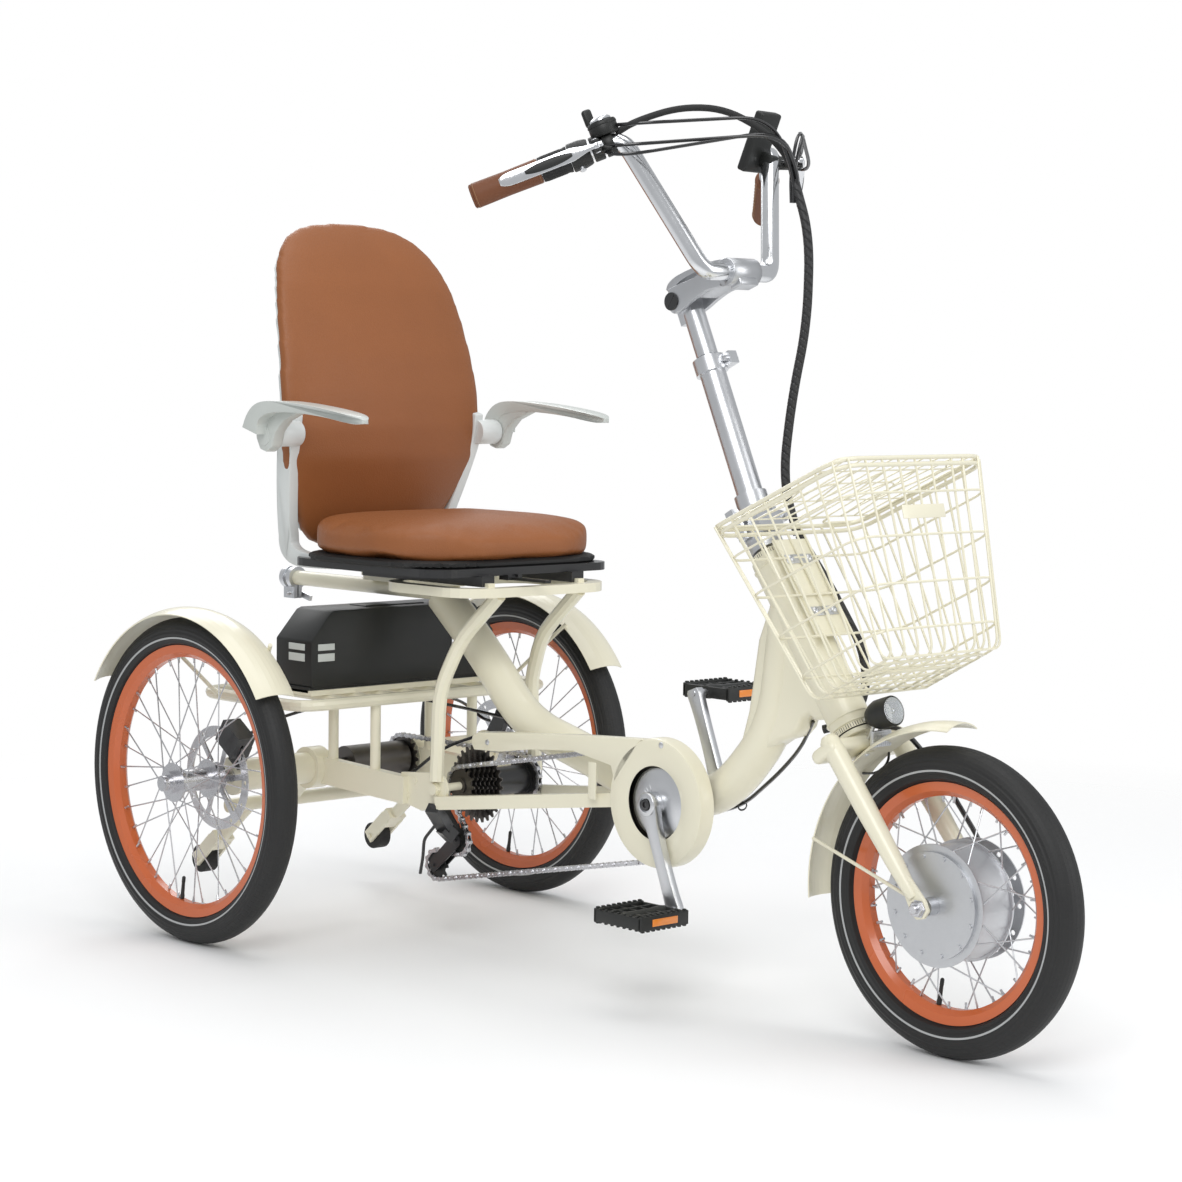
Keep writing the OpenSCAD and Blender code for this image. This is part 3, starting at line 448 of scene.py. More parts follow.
# %% Finishes for the CAD nodes
finishes = {
    "cream_paint": cream, "orange_paint": orange, "silver_metal": silver, "polished_metal": chrome,
    "dark_metal": dark_steel, "black_paint": black_paint, "black_plastic": black_plastic,
    "black_rubber": rubber, "tan_leather": tan, "brown_leather": brown, "grey_plastic": grey_plastic,
}
own = {
    "hinge_base": cast, "handlebar_post": silver, "front_hub": cast, "rear_right_hub": steel,
    "rear_left_hub": steel, "bar_riser": silver,
}
for part in frame["record"]["subparts"]:
    name, slot = part["node"], part["material_slot"]
    finish = own.get(name) or finishes.get(slot)
    if slot == "tyre_rubber":
        low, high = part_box(name)
        hub, width = (low + high) / 2, high.y - low.y
        radius = (high.z - low.z) / 2
        finish = tyre_rubber(name + "_rubber", hub, radius, width, radius - 0.031)
    obj = nodes[name]
    obj.data.materials.clear()
    obj.data.materials.append(finish)
    if name in ("control_cables", "cable_loom"):
        obj.data.materials[0] = rubber
print("finishes on", len(nodes), "nodes")

# %% [markdown]
# The tricycle stands on a plain pale floor that fades into a white background, lit by large soft lamps,
# so that paint and leather show soft reflections. The camera looks from the front right, a little above
# hub height, with a long lens that keeps the wheels nearly round.

# %% Camera
AZIMUTH, ELEVATION, ROLL = math.radians(46.8168), math.radians(4.6361), math.radians(0.7826)
back = Vector((math.sin(AZIMUTH) * math.cos(ELEVATION), -math.cos(AZIMUTH) * math.cos(ELEVATION),
               math.sin(ELEVATION)))
right = Vector((0, 0, 1)).cross(back).normalized()
up = back.cross(right)
right, up = right * math.cos(ROLL) + up * math.sin(ROLL), up * math.cos(ROLL) - right * math.sin(ROLL)
camera = bpy.data.objects.new("camera", bpy.data.cameras.new("camera"))
bpy.context.collection.objects.link(camera)
camera.matrix_world = Matrix.Translation((2.9266, -2.8027, 0.8932)) @ Matrix(
    (right, up, back)).transposed().to_4x4()
camera.data.lens = 85.46
camera.data.sensor_width = 36
bpy.context.scene.camera = camera

# %% Floor, sky and lamps
SKY_LIGHT, FLOOR_SIZE = 0.55, 14
FLOOR_NEAR, FLOOR_FAR = 1.1, 2.6
world = bpy.data.worlds.new("studio")
bpy.context.scene.world = world
world.use_nodes = True
sky = world.node_tree
seen, shed = sky.nodes["Background"], sky.nodes.new("ShaderNodeBackground")
seen.inputs["Color"].default_value = (1.0, 1.0, 1.0, 1)
seen.inputs["Strength"].default_value = 1.0
shed.inputs["Color"].default_value = (0.96, 0.98, 1.0, 1)
shed.inputs["Strength"].default_value = SKY_LIGHT
choose = sky.nodes.new("ShaderNodeMixShader")
sky.links.new(sky.nodes.new("ShaderNodeLightPath").outputs["Is Camera Ray"], choose.inputs[0])
sky.links.new(shed.outputs[0], choose.inputs[1])
sky.links.new(seen.outputs[0], choose.inputs[2])
sky.links.new(choose.outputs[0], sky.nodes["World Output"].inputs["Surface"])
bpy.context.scene.view_settings.view_transform = "Standard"
floor_finish = Finish("studio_floor", (0.93, 0.93, 0.93), 0.85)
floor_finish.set("Base Color", floor_finish.blend_color(
    floor_finish.noise(1.5, 2), (0.925, 0.925, 0.925), (0.935, 0.935, 0.935)))
floor_x, floor_y = floor_finish.apart(floor_finish.place)[:2]
out = (floor_x * floor_x + floor_y * floor_y).math("SQRT")
fade = ((out - FLOOR_NEAR) / (FLOOR_FAR - FLOOR_NEAR)).math("MAXIMUM", 0.0)
floor_finish.set("Alpha", (1.0 - fade).math("MAXIMUM", 0.0))
bpy.ops.object.select_all(action="DESELECT")
bpy.ops.mesh.primitive_plane_add(size=FLOOR_SIZE)
floor = bpy.context.object
floor.name = "floor"
floor.data.materials.append(floor_finish.material)


def lamp(name, at, size, power, towards=(0, 0, 0.5)):
    light = bpy.data.objects.new(name, bpy.data.lights.new(name, "AREA"))
    bpy.context.collection.objects.link(light)
    light.data.shape = "RECTANGLE"
    light.data.size, light.data.size_y = size
    light.data.energy = power
    light.location = at
    light.rotation_euler = (Vector(towards) - Vector(at)).to_track_quat("-Z", "Y").to_euler()
    return light


lamp("key", (2.6, -3.2, 3.4), (2.4, 2.4), 92)
lamp("side", (3.6, 1.4, 1.8), (1.6, 2.6), 38)
lamp("behind", (-3.0, 1.2, 2.8), (2.4, 2.0), 40)
lamp("top", (0, 0, 4.2), (3.4, 2.4), 46)
print("camera at", tuple(round(v, 3) for v in camera.location))

# %% [markdown]
# The numbers of a bicycle are millimetres from one of a few axes, so each piece is modelled in millimetres on
# the axis that it belongs to, and one matrix then carries it to its place: the ground under the rear axle,
# the steering axis, the folding post, the stem, and the outer end of each grip.

# %% Axes to model on
MM = Matrix.Scale(0.001, 4)


def axes_at(origin, x_axis, z_axis):
    x, z = Vector(x_axis).normalized(), Vector(z_axis).normalized()
    return Matrix.Translation(origin) @ Matrix((x, z.cross(x), z)).transposed().to_4x4() @ MM


def leaning(origin, degrees):
    a = math.radians(degrees)
    return axes_at(origin, (math.cos(a), 0, math.sin(a)), (-math.sin(a), 0, math.cos(a)))


shift = joint_at("rear_right_wheel_spin").x
ground = Matrix.Translation((shift, 0, 0)) @ MM
steer = leaning(joint_at("steering"), 35)
stem = leaning(joint_at("stem_tilt"), 21)
grip_along = Vector((143, 141, 80)).normalized()
grip_out = Vector((grip_along.y, -grip_along.x, 0)).normalized()
grip_right = axes_at(ground @ Vector((590, -287, 1118)), grip_out, grip_along)
grip_left = Matrix.Scale(-1, 4, (0, 1, 0)) @ grip_right


def put(obj, frame_matrix):
    """Carries a piece from its own axis, in millimetres, to its place in metres."""
    settle(obj)
    obj.data.transform(frame_matrix)
    return outwards(obj) if frame_matrix.determinant() < 0 else obj


print("grip runs along", tuple(round(v, 3) for v in grip_along))

# %% [markdown]
# ## The seat
# The cushion is foam under stretched leather, so it starts as a rounded block a little smaller than the real
# one, and a cloth simulation blows it up: the cover bulges where nothing holds it. The back cushion is a thin
# egg-shaped pad that is bent to the curve of its shell before it is blown up.

# %% Blowing up a pad
def block_from(outline, low, high, voxel=6.0):
    """A remeshed slab of even small faces, its outline in two axes and its thickness in the third."""
    mesh = bpy.data.meshes.new("pad")
    n = len(outline)
    rings = [(x, y, z) for z in (low, high) for x, y in outline]
    faces = [list(range(n))[::-1], list(range(n, 2 * n))]
    faces += [(i, (i + 1) % n, n + (i + 1) % n, n + i) for i in range(n)]
    mesh.from_pydata(rings, [], faces)
    obj = bpy.data.objects.new("pad", mesh)
    bpy.context.collection.objects.link(obj)
    outwards(obj)
    return modify(obj, "REMESH", mode="VOXEL", voxel_size=voxel)


def blow_up(obj, cap, pressure=4.0, frames=20):
    """Cloth with air pressure inside, its movement capped, then one subdivision."""
    start = [v.co.copy() for v in obj.data.vertices]
    pick(obj)
    cloth = obj.modifiers.new("air", "CLOTH")
    cloth.settings.use_pressure = True
    cloth.settings.uniform_pressure_force = pressure
    cloth.settings.effector_weights.gravity = 0
    cloth.settings.quality = 5
    cloth.settings.tension_stiffness = 25
    cloth.settings.bending_stiffness = 4
    for step in range(1, frames + 1):
        bpy.context.scene.frame_set(step)
    shaped = obj.evaluated_get(bpy.context.evaluated_depsgraph_get()).data
    moved = [v.co.copy() for v in shaped.vertices]
    obj.modifiers.remove(cloth)
    bpy.context.scene.frame_set(1)
    for v, a, b in zip(obj.data.vertices, start, moved):
        step = b - a
        v.co = a + step * min(1.0, cap / max(step.length, 1e-9))
    modify(obj, "SMOOTH", factor=0.5, iterations=3)
    return modify(obj, "SUBSURF", levels=1, render_levels=1)


def rounded_rect(length, width, r, n=8):
    corners = ((1, 1, 0), (-1, 1, 90), (-1, -1, 180), (1, -1, 270))
    return [(cx * (length / 2 - r) + r * math.cos(math.radians(a + 90 * k / n)),
             cy * (width / 2 - r) + r * math.sin(math.radians(a + 90 * k / n)))
            for cx, cy, a in corners for k in range(n + 1)]


# %% Seat cushion
CUSHION_X, CUSHION_Z = 214, 622
cushion = block_from(rounded_rect(356, 420, 150, 16), -20, 20)
for v in cushion.data.vertices:
    along, side = v.co.x / 176, v.co.y / 209
    edge = min(1.0, max(abs(along), abs(side)) ** 3.5)
    crown = 16 * (1 - edge) if v.co.z > 0 else 6 * (1 - edge)
    v.co.z = (v.co.z + math.copysign(crown, v.co.z)) * (1 - 0.3 * edge)
    v.co.z -= 7 * max(0, along - 0.4) + 1.5 * along * along
modify(cushion, "SMOOTH", factor=0.5, iterations=14)
put(cushion, ground @ Matrix.Translation((CUSHION_X, 0, CUSHION_Z)))
blow_up(cushion, 0.006)
piece(cushion, "seat_cushion_leather", "seat", tan, 60)
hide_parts("seat_cushion")
low, high = Vector(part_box("seat_cushion")[0]), Vector(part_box("seat_cushion")[1])
shown = [cushion.matrix_world @ v.co for v in cushion.data.vertices]
print("cushion", [round(min(p[i] for p in shown) - low[i], 4) for i in range(3)],
      [round(max(p[i] for p in shown) - high[i], 4) for i in range(3)])

# %% Black cloth under the cushion
skirt = block_from([(x * (1 + 0.006 * math.sin(i * 2.1)), y * (1 + 0.007 * math.sin(i * 1.7)))
                    for i, (x, y) in enumerate(rounded_rect(338, 396, 96, 14))], 588, 600, 7.0)
put(skirt, ground @ Matrix.Translation((CUSHION_X, 0, 0)))
piece(skirt, "seat_underside_cloth", "seat", rubber)

# %% [markdown]
# The back is one curve seen from the side, and an egg shape seen from the front. Both are short tables of
# millimetres, and every vertex of a flat slab is moved forward by the curve at its own height.

# %% Curve and outline of the back
BACK_CURVE = ((598, 0), (640, 12), (700, 31), (740, 44), (790, 50), (840, 47), (900, 36), (960, 18),
              (1010, 0), (1060, -27), (1085, -43), (1116, -64))
BACK_HALF = ((598, 96), (606, 118), (625, 136), (660, 158), (700, 180), (740, 196), (780, 203), (850, 201),
             (900, 196), (950, 190), (1000, 181), (1040, 168), (1070, 150), (1090, 128), (1103, 100),
             (1111, 66), (1114, 30), (1114.5, 0))


def table_at(table, at):
    for (a, va), (b, vb) in zip(table, table[1:]):
        if at <= b:
            t = max(0.0, (at - a) / (b - a))
            return va + (vb - va) * t
    return table[-1][1]


def back_outline(inset):
    side = [(h - inset if h > inset else 0, z - (inset if z > 1050 else -inset if z < 612 else 0))
            for z, h in BACK_HALF]
    return [(y, z) for y, z in side] + [(-y, z) for y, z in side[-2::-1]]


def edge_distance(outline, y, z):
    best = 1e9
    for (ay, az), (by, bz) in zip(outline, outline[1:] + outline[:1]):
        dy, dz = by - ay, bz - az
        t = max(0.0, min(1.0, ((y - ay) * dy + (z - az) * dz) / (dy * dy + dz * dz + 1e-9)))
        best = min(best, math.hypot(y - ay - t * dy, z - az - t * dz))
    return best


def bend_to_back(obj, front, rear, rim=0.0):
    """Turns a flat slab in (side, up, depth) into the bent form, thinner towards its edge."""
    outline = back_outline(0)
    for v in obj.data.vertices:
        y, z, depth = v.co
        inside = 1 - math.exp(-edge_distance(outline, y, z) / 26)
        out = front * (0.35 + 0.65 * inside) if depth > 0 else rear
        x = table_at(BACK_CURVE, z) + (out if abs(depth) > 0.5 else 0) + rim * (1 - inside)
        v.co = (x - 0.00042 * y * y * 0.6, y, z)
    return obj


# %% Back cushion
back_pad = block_from(back_outline(3), -9, 9, 5.0)
bend_to_back(back_pad, 17, -8)
modify(back_pad, "SMOOTH", factor=0.5, iterations=10)
put(back_pad, ground)
blow_up(back_pad, 0.002)
piece(back_pad, "back_cushion_leather", "seat", tan, 60)
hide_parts("back_cushion")
shown = [v.co for v in back_pad.data.vertices]
print("back pad x", round(min(p.x for p in shown), 3), round(max(p.x for p in shown), 3))

# %% Back shell behind the pad
shell = block_from(back_outline(9), -5, 5, 5.0)
outline = back_outline(0)
for v in shell.data.vertices:
    y, z, depth = v.co
    near = math.exp(-edge_distance(outline, y, z) / 10)
    x = table_at(BACK_CURVE, z) + (-10 if depth > 0 else -18) + 5 * near
    v.co = (x - 0.00042 * y * y * 0.6, y, z)
modify(shell, "SMOOTH", factor=0.5, iterations=6)
put(shell, ground)
piece(shell, "back_shell_moulding", "seat", white_plastic, 60)
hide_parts("back_shell")

# %% [markdown]
# A J-shaped moulded arm on each side carries the back: it starts behind the armrest pivot, runs down the edge
# of the shell, turns and passes forward under the seat. It is a centre line with a width at each point.

# %% Side arms and pivot housings
ARM_LINE = ((50, 812, 13), (41, 778, 18), (27, 726, 17), (14, 680, 16), (3, 640, 15), (-2, 614, 16),
            (4, 597, 15), (24, 586, 13), (60, 583, 11), (130, 583, 9), (200, 584, 6))


def ribbon_outline(line):
    """The outline of a strip along (x, z, half width) points."""
    one, other = [], []
    for i, (x, z, h) in enumerate(line):
        a, b = line[max(0, i - 1)], line[min(len(line) - 1, i + 1)]
        d = math.hypot(b[0] - a[0], b[1] - a[1])
        nx, nz = -(b[1] - a[1]) / d, (b[0] - a[0]) / d
        one.append((x + nx * h, z + nz * h))
        other.append((x - nx * h, z - nz * h))
    return one + other[::-1]


def smoothed(points, times=2):
    """Cuts the corners of an open line of number tuples, keeping its ends."""
    for _ in range(times):
        out = [points[0]]
        for a, b in zip(points, points[1:]):
            out.append(tuple(p * 0.75 + q * 0.25 for p, q in zip(a, b)))
            out.append(tuple(p * 0.25 + q * 0.75 for p, q in zip(a, b)))
        points = out + [points[-1]]
    return points


for side in (-1, 1):
    name = "right" if side < 0 else "left"
    arm = plate(ribbon_outline(smoothed(ARM_LINE)), 18, 174, 5)
    for v in arm.data.vertices:
        v.co.y -= 30 * min(1.0, max(0.0, (770 - v.co.z) / 150)) ** 1.3
    hub = turned([(0, 180), (19, 180), (20, 182), (20, 219), (19, 221), (0, 221)], (57, 0, 780))
    arm = join("arm", [arm, hub])
    if side < 0:
        arm, old = mirrored(arm), arm
        bpy.data.objects.remove(old)
    piece(put(arm, ground), "side_arm_" + name, "seat", white_plastic)

# %% Armrests
ARMREST_LINE = ((-14, 4, 19), (-9, 22, 15), (6, 36, 12), (34, 42, 9), (80, 42, 7.5), (130, 39, 6.5),
                (180, 34, 6), (220, 28, 6), (236, 25, 5.5), (243, 24, 3))
ARMREST_PIVOT = Vector((57, 233, 780))


def armrest(side):
    name = "right" if side < 0 else "left"
    blade = plate(ribbon_outline(smoothed(ARMREST_LINE)), 40, -11, 3)
    for v in blade.data.vertices:
        forward = max(0.0, v.co.x - 196) / 47
        middle = 9
        v.co.y = middle + (v.co.y - middle) * math.sqrt(max(0.05, 1 - min(1, forward) ** 2 * 0.93))
    web = plate([(-22, 12), (-24, -6), (-14, -24), (2, -28), (16, -20), (24, 2), (44, 20), (86, 36),
                 (10, 42)],
                20, -10.5, 3)
    cap = turned([(0, 12), (12, 12), (15.5, 10.5), (16, 7), (16, 5), (0, 5)], (-3, 0, -3))
    rest = join("rest", [blade, web, cap])
    for v in rest.data.vertices:
        v.co += ARMREST_PIVOT
    if side < 0:
        rest, old = mirrored(rest), rest
        bpy.data.objects.remove(old)
    put(rest, ground)
    piece(rest, "armrest_moulding_" + name, "armrest_" + name, grey_plastic)
    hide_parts("armrest_" + name)
    return rest


armrest(-1)
armrest(1)
print("seat done")

# %% [markdown]
# ## The wire basket
# A wire basket is U-shaped wires welded under a thicker rim. Each wire here is a list of points on the
# basket's own walls, with small bends where the press leaves them: long U wires from side to side, others
# from back to front, and four rings round them.

# %% Basket walls
RIM_R, WIRE_R = 3.0, 1.7


def basket_corner(h, front, side, wider=0.0):
    x = (50 - 8 * h - wider) if not front else (196 + 92 * h + wider)
    z = (30 + 268 * h) if not front else (13 + 239 * h)
    return Vector((x, side * (120 + 27 * h + wider), z))


def basket_ring(h, r, wider=0.0):
    corners = [basket_corner(h, f, s, wider) for f, s in ((0, -1), (1, -1), (1, 1), (0, 1))]
    start = (corners[0] + corners[3]) / 2
    return rounded([start, *corners, start], r)[:-1]


def wall_point(h, front_back, across):
    """A point between the rear wall (0) and the front wall (1), and between the sides (-1 to 1)."""
    rear, fore = basket_corner(h, 0, 1), basket_corner(h, 1, 1)
    p = rear.lerp(fore, front_back)
    return Vector((p.x, across * p.y, p.z))


wires = []
for k in range(8):
    t = 0.05 + 0.9 * k / 7
    one = [wall_point(h, t, -1) for h in (1, 0)]
    two = [wall_point(h, t, 1) for h in (0, 1)]
    wires.append(rounded(one + two, 16))
for k in range(9):
    y = -0.88 + 1.76 * k / 8
    if abs(y * 130 - 48) < 14:
        y += 0.06
    wires.append(rounded([wall_point(1, 0, y), wall_point(0, 0, y), wall_point(0, 1, y), wall_point(1, 1, y)],
                         16))
rings = [basket_ring(h, 34, 1.2) for h in (0.13, 0.36, 0.60, 0.82)]
floor_rings = [basket_ring(0.0, 24, -18 - 26 * k) for k in range(2)]
thin = put(tubes(wires, WIRE_R, 8), steer)
loops = put(tubes(rings + floor_rings, WIRE_R, 8, closed=True), steer)
rims = put(tubes([basket_ring(1.0, 36, 0), basket_ring(0.965, 36, 0)], RIM_R, 12, closed=True), steer)
basket = join("basket", [thin, loops, rims])
piece(basket, "basket_wires", "frame", cream, 50)
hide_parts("basket")
print("basket wires", len(basket.data.polygons), "faces")

# %% Basket bracket, straps and bolts
bracket = box((38, -34, 128), (41.5, 34, 280), 1.6)
clamps = []
for z in (158, 240):
    clamps.append(box((29.4, -21, z), (38.4, 21, z + 16), 1.5))
bracket = put(join("bracket", [bracket, *clamps]), steer)
piece(bracket, "basket_bracket", "frame", cream)
straps = []
for z in (166, 248):
    straps.append(box((41.5, -26, z - 7), (43, 26, z + 7), 0.7))
    for y in (-18, 18):
        straps.append(turned([(0, 0), (5.4, 0), (5.4, 1.8), (4.4, 3.0), (2.6, 3.4), (2.4, 2.0), (0, 2.0)],
                             (43, y, z), (1, 0, 0), 24))
straps = put(join("straps", straps), steer)
piece(straps, "basket_straps", "frame", silver)
tag = box((0, -42, -9), (1.4, 42, 9), 0.6)
tag_at = wall_point(0.72, 1, 0)
tag_lean = Matrix.Rotation(math.radians(21), 4, "Y")
tag.data.transform(Matrix.Translation(tag_at + Vector((0.2, 0, 0))) @ tag_lean)
piece(put(tag, steer), "basket_front_plate", "frame", cream)

# %% [markdown]
# The lid is a flat wire frame that hinges on the rear rim. It has a notch for the cables, a few long wires,
# and a fan of shorter ones that keeps small things in.

# %% Basket lid
def lid_point(t, y):
    """t runs from the hinge (0) to the front (1) and y from side to side in millimetres."""
    a, b = Vector((48, 0, 299.2)), Vector((286, 0, 254.6))
    p = a.lerp(b, t)
    return Vector((p.x, y, p.z))


frame_line = rounded([lid_point(0, 0), lid_point(0, 30), lid_point(0.09, 30), lid_point(0.09, 68),
                      lid_point(0, 68),
                      lid_point(0, 144), lid_point(0.995, 141), lid_point(0.995, -141), lid_point(0, -144),
                      lid_point(0, 0)], 14)[:-1]
inner = [rounded([lid_point(0.10, -126), lid_point(0.88, -122), lid_point(0.88, 122), lid_point(0.10, 126)],
                 40),
         rounded([lid_point(0.10, -84), lid_point(0.62, -80), lid_point(0.62, 80), lid_point(0.10, 84)], 36)]
fan = []
for k in range(9):
    y = -112 + 28 * k
    fan.append([lid_point(0.10, y), lid_point(0.36, y * 0.86), lid_point(0.99, y * 1.1)])
for k in range(4):
    y = -105 + 70 * k
    fan.append([lid_point(0.36, y * 0.8), lid_point(0.80, (y + 35) * 0.9)])
    fan.append([lid_point(0.36, y * 0.8), lid_point(0.80, (y - 35) * 0.9)])
cross = [[lid_point(0.10, -141), lid_point(0.10, 141)], [lid_point(0.36, -142), lid_point(0.36, 142)],
         [lid_point(0.80, -142), lid_point(0.80, 142)]]
lid = join("lid", [put(tubes([frame_line], 1.5, 8, closed=True), steer),
                   put(tubes(inner + fan + cross, 1.2, 6), steer)])
piece(lid, "basket_lid_wires", "basket_lid", cream, 50)
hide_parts("basket_lid")

# %% [markdown]
# ## The frame tubes
# The main tube is one large tube bent in a step-through curve, with a pressed gusset that fills the corner
# behind the head tube. Welds are thin rounded beads, which a thin ring of small bumps stands for.

# %% Main tube and gusset
MAIN_TUBE = ((925, 0, 565), (905, 0, 400), (812, 0, 296), (730, 0, 279), (640, 0, 285), (520, 0, 322),
             (390, 0, 352), (300, 0, 445), (196, 0, 530))
main_line = rounded(MAIN_TUBE, 60, 7)
main = tubes([main_line], 28.5, 32)
gusset = plate([(914, 596), (884, 520), (868, 420), (842, 336), (880, 356), (925, 384), (950, 392),
                (962, 404),
                (968, 421), (980, 426), (992, 418), (1012, 424), (1024, 432), (960, 520)], 42, -21, 9)
main = put(join("main", [main, gusset]), ground)
piece(main, "main_tube_smooth", "frame", cream, 60)
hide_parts("main_tube")


def weld(at, axis, r, bead=2.2, n=64):
    """A closed weld bead round a joint, rippled like a row of coins."""
    z = Vector(axis).normalized()
    x = z.orthogonal().normalized()
    y = z.cross(x)
    line = []
    for k in range(n):
        a = 2 * math.pi * k / n
        line.append(Vector(at) + (x * math.cos(a) + y * math.sin(a)) * (r + 0.5 * (k % 2)))
    return tubes([line], bead, 8, closed=True)


axis = (-math.sin(math.radians(35)), 0, math.cos(math.radians(35)))
beads = [put(weld((0, 0, 22), (0, 0, 1), 30.2, 1.6), steer),
         put(weld((0, 0, 262), (0, 0, 1), 30.2, 1.4), steer),
         put(weld((730, -29.5, 278), (0, 1, 0), 25, 2.4), ground),
         put(weld((730, 29.5, 278), (0, 1, 0), 25, 2.4), ground)]
piece(join("beads", beads), "frame_weld_beads", "frame", cream, 60)

# %% Headset cups
cups = []
for z in (1.5, 274):
    cups.append(turned([(14.6, 0), (26, 0), (27, 1), (27, 7), (26, 8), (14.6, 8), (14.6, 0)], (0, 0, z),
                       (0, 0, 1)))
cups = put(join("cups", cups), steer)
piece(cups, "headset_cups", "frame", dark_steel)

# %% [markdown]
# ## The fork
# Each leg is a tapered tube, so it is turned from a half outline that gets thinner towards the axle. The
# crown is a pressed bridge, and each leg ends in a flattened tab with the axle nut on it.

# %% Fork
axle_in_steer = steer.inverted() @ joint_at("front_wheel_spin")
foot = Vector((axle_in_steer.x - 2, 66, axle_in_steer.z + 22))
top = Vector((9, 66, -10))
length = (foot - top).length
legs = []
for side in (-1, 1):
    a = Vector((top.x, side * top.y, top.z))
    b = Vector((foot.x, side * foot.y, foot.z))
    legs.append(turned([(0, -8), (9, -6), (13.4, 0), (14.4, 12), (14.2, length * 0.45), (12, length * 0.8),
                        (9.5, length * 0.97), (7, length + 6), (0, length + 8)], a, (b - a).normalized(), 32))
    tab = plate([(foot.x - 8, foot.z + 22), (foot.x + 9, foot.z + 22),
                 (axle_in_steer.x + 14, axle_in_steer.z + 4),
                 (axle_in_steer.x + 12, axle_in_steer.z - 10), (axle_in_steer.x, axle_in_steer.z - 15),
                 (axle_in_steer.x - 12, axle_in_steer.z - 10), (axle_in_steer.x - 15, axle_in_steer.z + 2)],
                6, side * 66 - 3, 1.2)
    legs.append(tab)
crown = box((-23, -81, -25), (23, 81, -5), 9, 4)
for v in crown.data.vertices:
    v.co.z -= 0.0009 * v.co.y * v.co.y * 1.3
race = turned([(0, -6), (25, -6), (26, -4), (26, 0), (23, 1.4), (0, 1.4)], (0, 0, 0), (0, 0, 1))
stub = turned([(0, -22), (14.2, -22), (14.2, 311), (0, 311)], (0, 0, 0), (0, 0, 1))
fork = put(join("fork", [*legs, crown, race, stub]), steer)
piece(fork, "fork_legs", "steerer", cream, 50)
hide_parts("fork")


def nut(at, axis, r, h, hole=0.0):
    """A hexagon nut with a washer face and a domed top."""
    body = turned([(0, 0), (r * 1.18, 0), (r * 1.18, 1.2), (r, 1.2), (r, h * 0.86), (r * 0.86, h), (0, h)],
                  at, axis, 6)
    return body


ends = []
for side in (-1, 1):
    ends.append(turned([(0, -16), (6, -16), (6, 15), (5, 16), (0, 16)], (0, side * 66, 0), (0, side, 0), 24))
    ends.append(nut((0, side * 69.2, 0), (0, side, 0), 10.5, 8))
ends = put(join("ends", ends), Matrix.Translation(joint_at("front_wheel_spin")) @ MM)
piece(ends, "front_axle_nuts", "steerer", steel)

# %% [markdown]
# ## The chains
# A roller chain is one link repeated: two figure-of-eight plates and a roller. The path round the
# sprockets is worked out from their centres and radii as tangents and arcs, cut into steps of one pitch,
# and the link is copied to each step. Inner and outer links take turns.

# %% Chain path and links
PITCH = 12.7


def sprocket_radius(teeth):
    return PITCH / (2 * math.sin(math.pi / teeth))


def belt(wheels, n=24):
    """The closed path round directed wheels (x, z, radius, sense)."""
    def direction(a, b):
        dx, dz = b[0] - a[0], b[1] - a[1]
        return math.atan2(dz, dx) + math.asin((a[2] * a[3] - b[2] * b[3]) / math.hypot(dx, dz))
    points = []
    for i, w in enumerate(wheels):
        before, after = wheels[i - 1], wheels[(i + 1) % len(wheels)]
        t_in = direction(before, w) - math.pi / 2 * w[3]
        t_out = direction(w, after) - math.pi / 2 * w[3]
        turn = (t_out - t_in) % (2 * math.pi) if w[3] > 0 else -((t_in - t_out) % (2 * math.pi))
        points += [(w[0] + w[2] * math.cos(t_in + turn * k / n), w[1] + w[2] * math.sin(t_in + turn * k / n))
                   for k in range(n + 1)]
    return points


def stepped(points, pitch):
    """Points a whole number of equal steps apart along a closed line."""
    total = sum(math.dist(a, b) for a, b in zip(points, points[1:] + points[:1]))
    count = 2 * round(total / pitch / 2)
    step, out, travelled, want = total / count, [], 0.0, 0.0
    for a, b in zip(points, points[1:] + points[:1]):
        d = math.dist(a, b)
        while want <= travelled + d + 1e-9 and len(out) < count:
            t = (want - travelled) / d if d else 0
            out.append((a[0] + (b[0] - a[0]) * t, a[1] + (b[1] - a[1]) * t))
            want += step
        travelled += d
    return out


def link(outer):
    """One link along X between two pins, a figure-of-eight plate on each side."""
    y = 3.4 if outer else 2.2
    eight = [(-4, 0), (-2.8, 2.9), (0, 4), (2.8, 2.9), (6.35, 2.2), (9.9, 2.9), (12.7, 4), (15.5, 2.9),
             (16.7, 0),
             (15.5, -2.9), (12.7, -4), (9.9, -2.9), (6.35, -2.2), (2.8, -2.9), (0, -4), (-2.8, -2.9)]
    parts = [plate(eight, 1.1, y - 0.55), plate(eight, 1.1, -y - 0.55)]
    if outer:
        for x in (0, 12.7):
            parts.append(turned([(0, -4.6), (1.8, -4.6), (1.8, 4.6), (0, 4.6)], (x, 0, 0), steps=8))
    else:
        for x in (0, 12.7):
            parts.append(turned([(0, -2.0), (3.8, -2.0), (3.8, 2.0), (0, 2.0)], (x, 0, 0), steps=10))
    return join("link", parts)


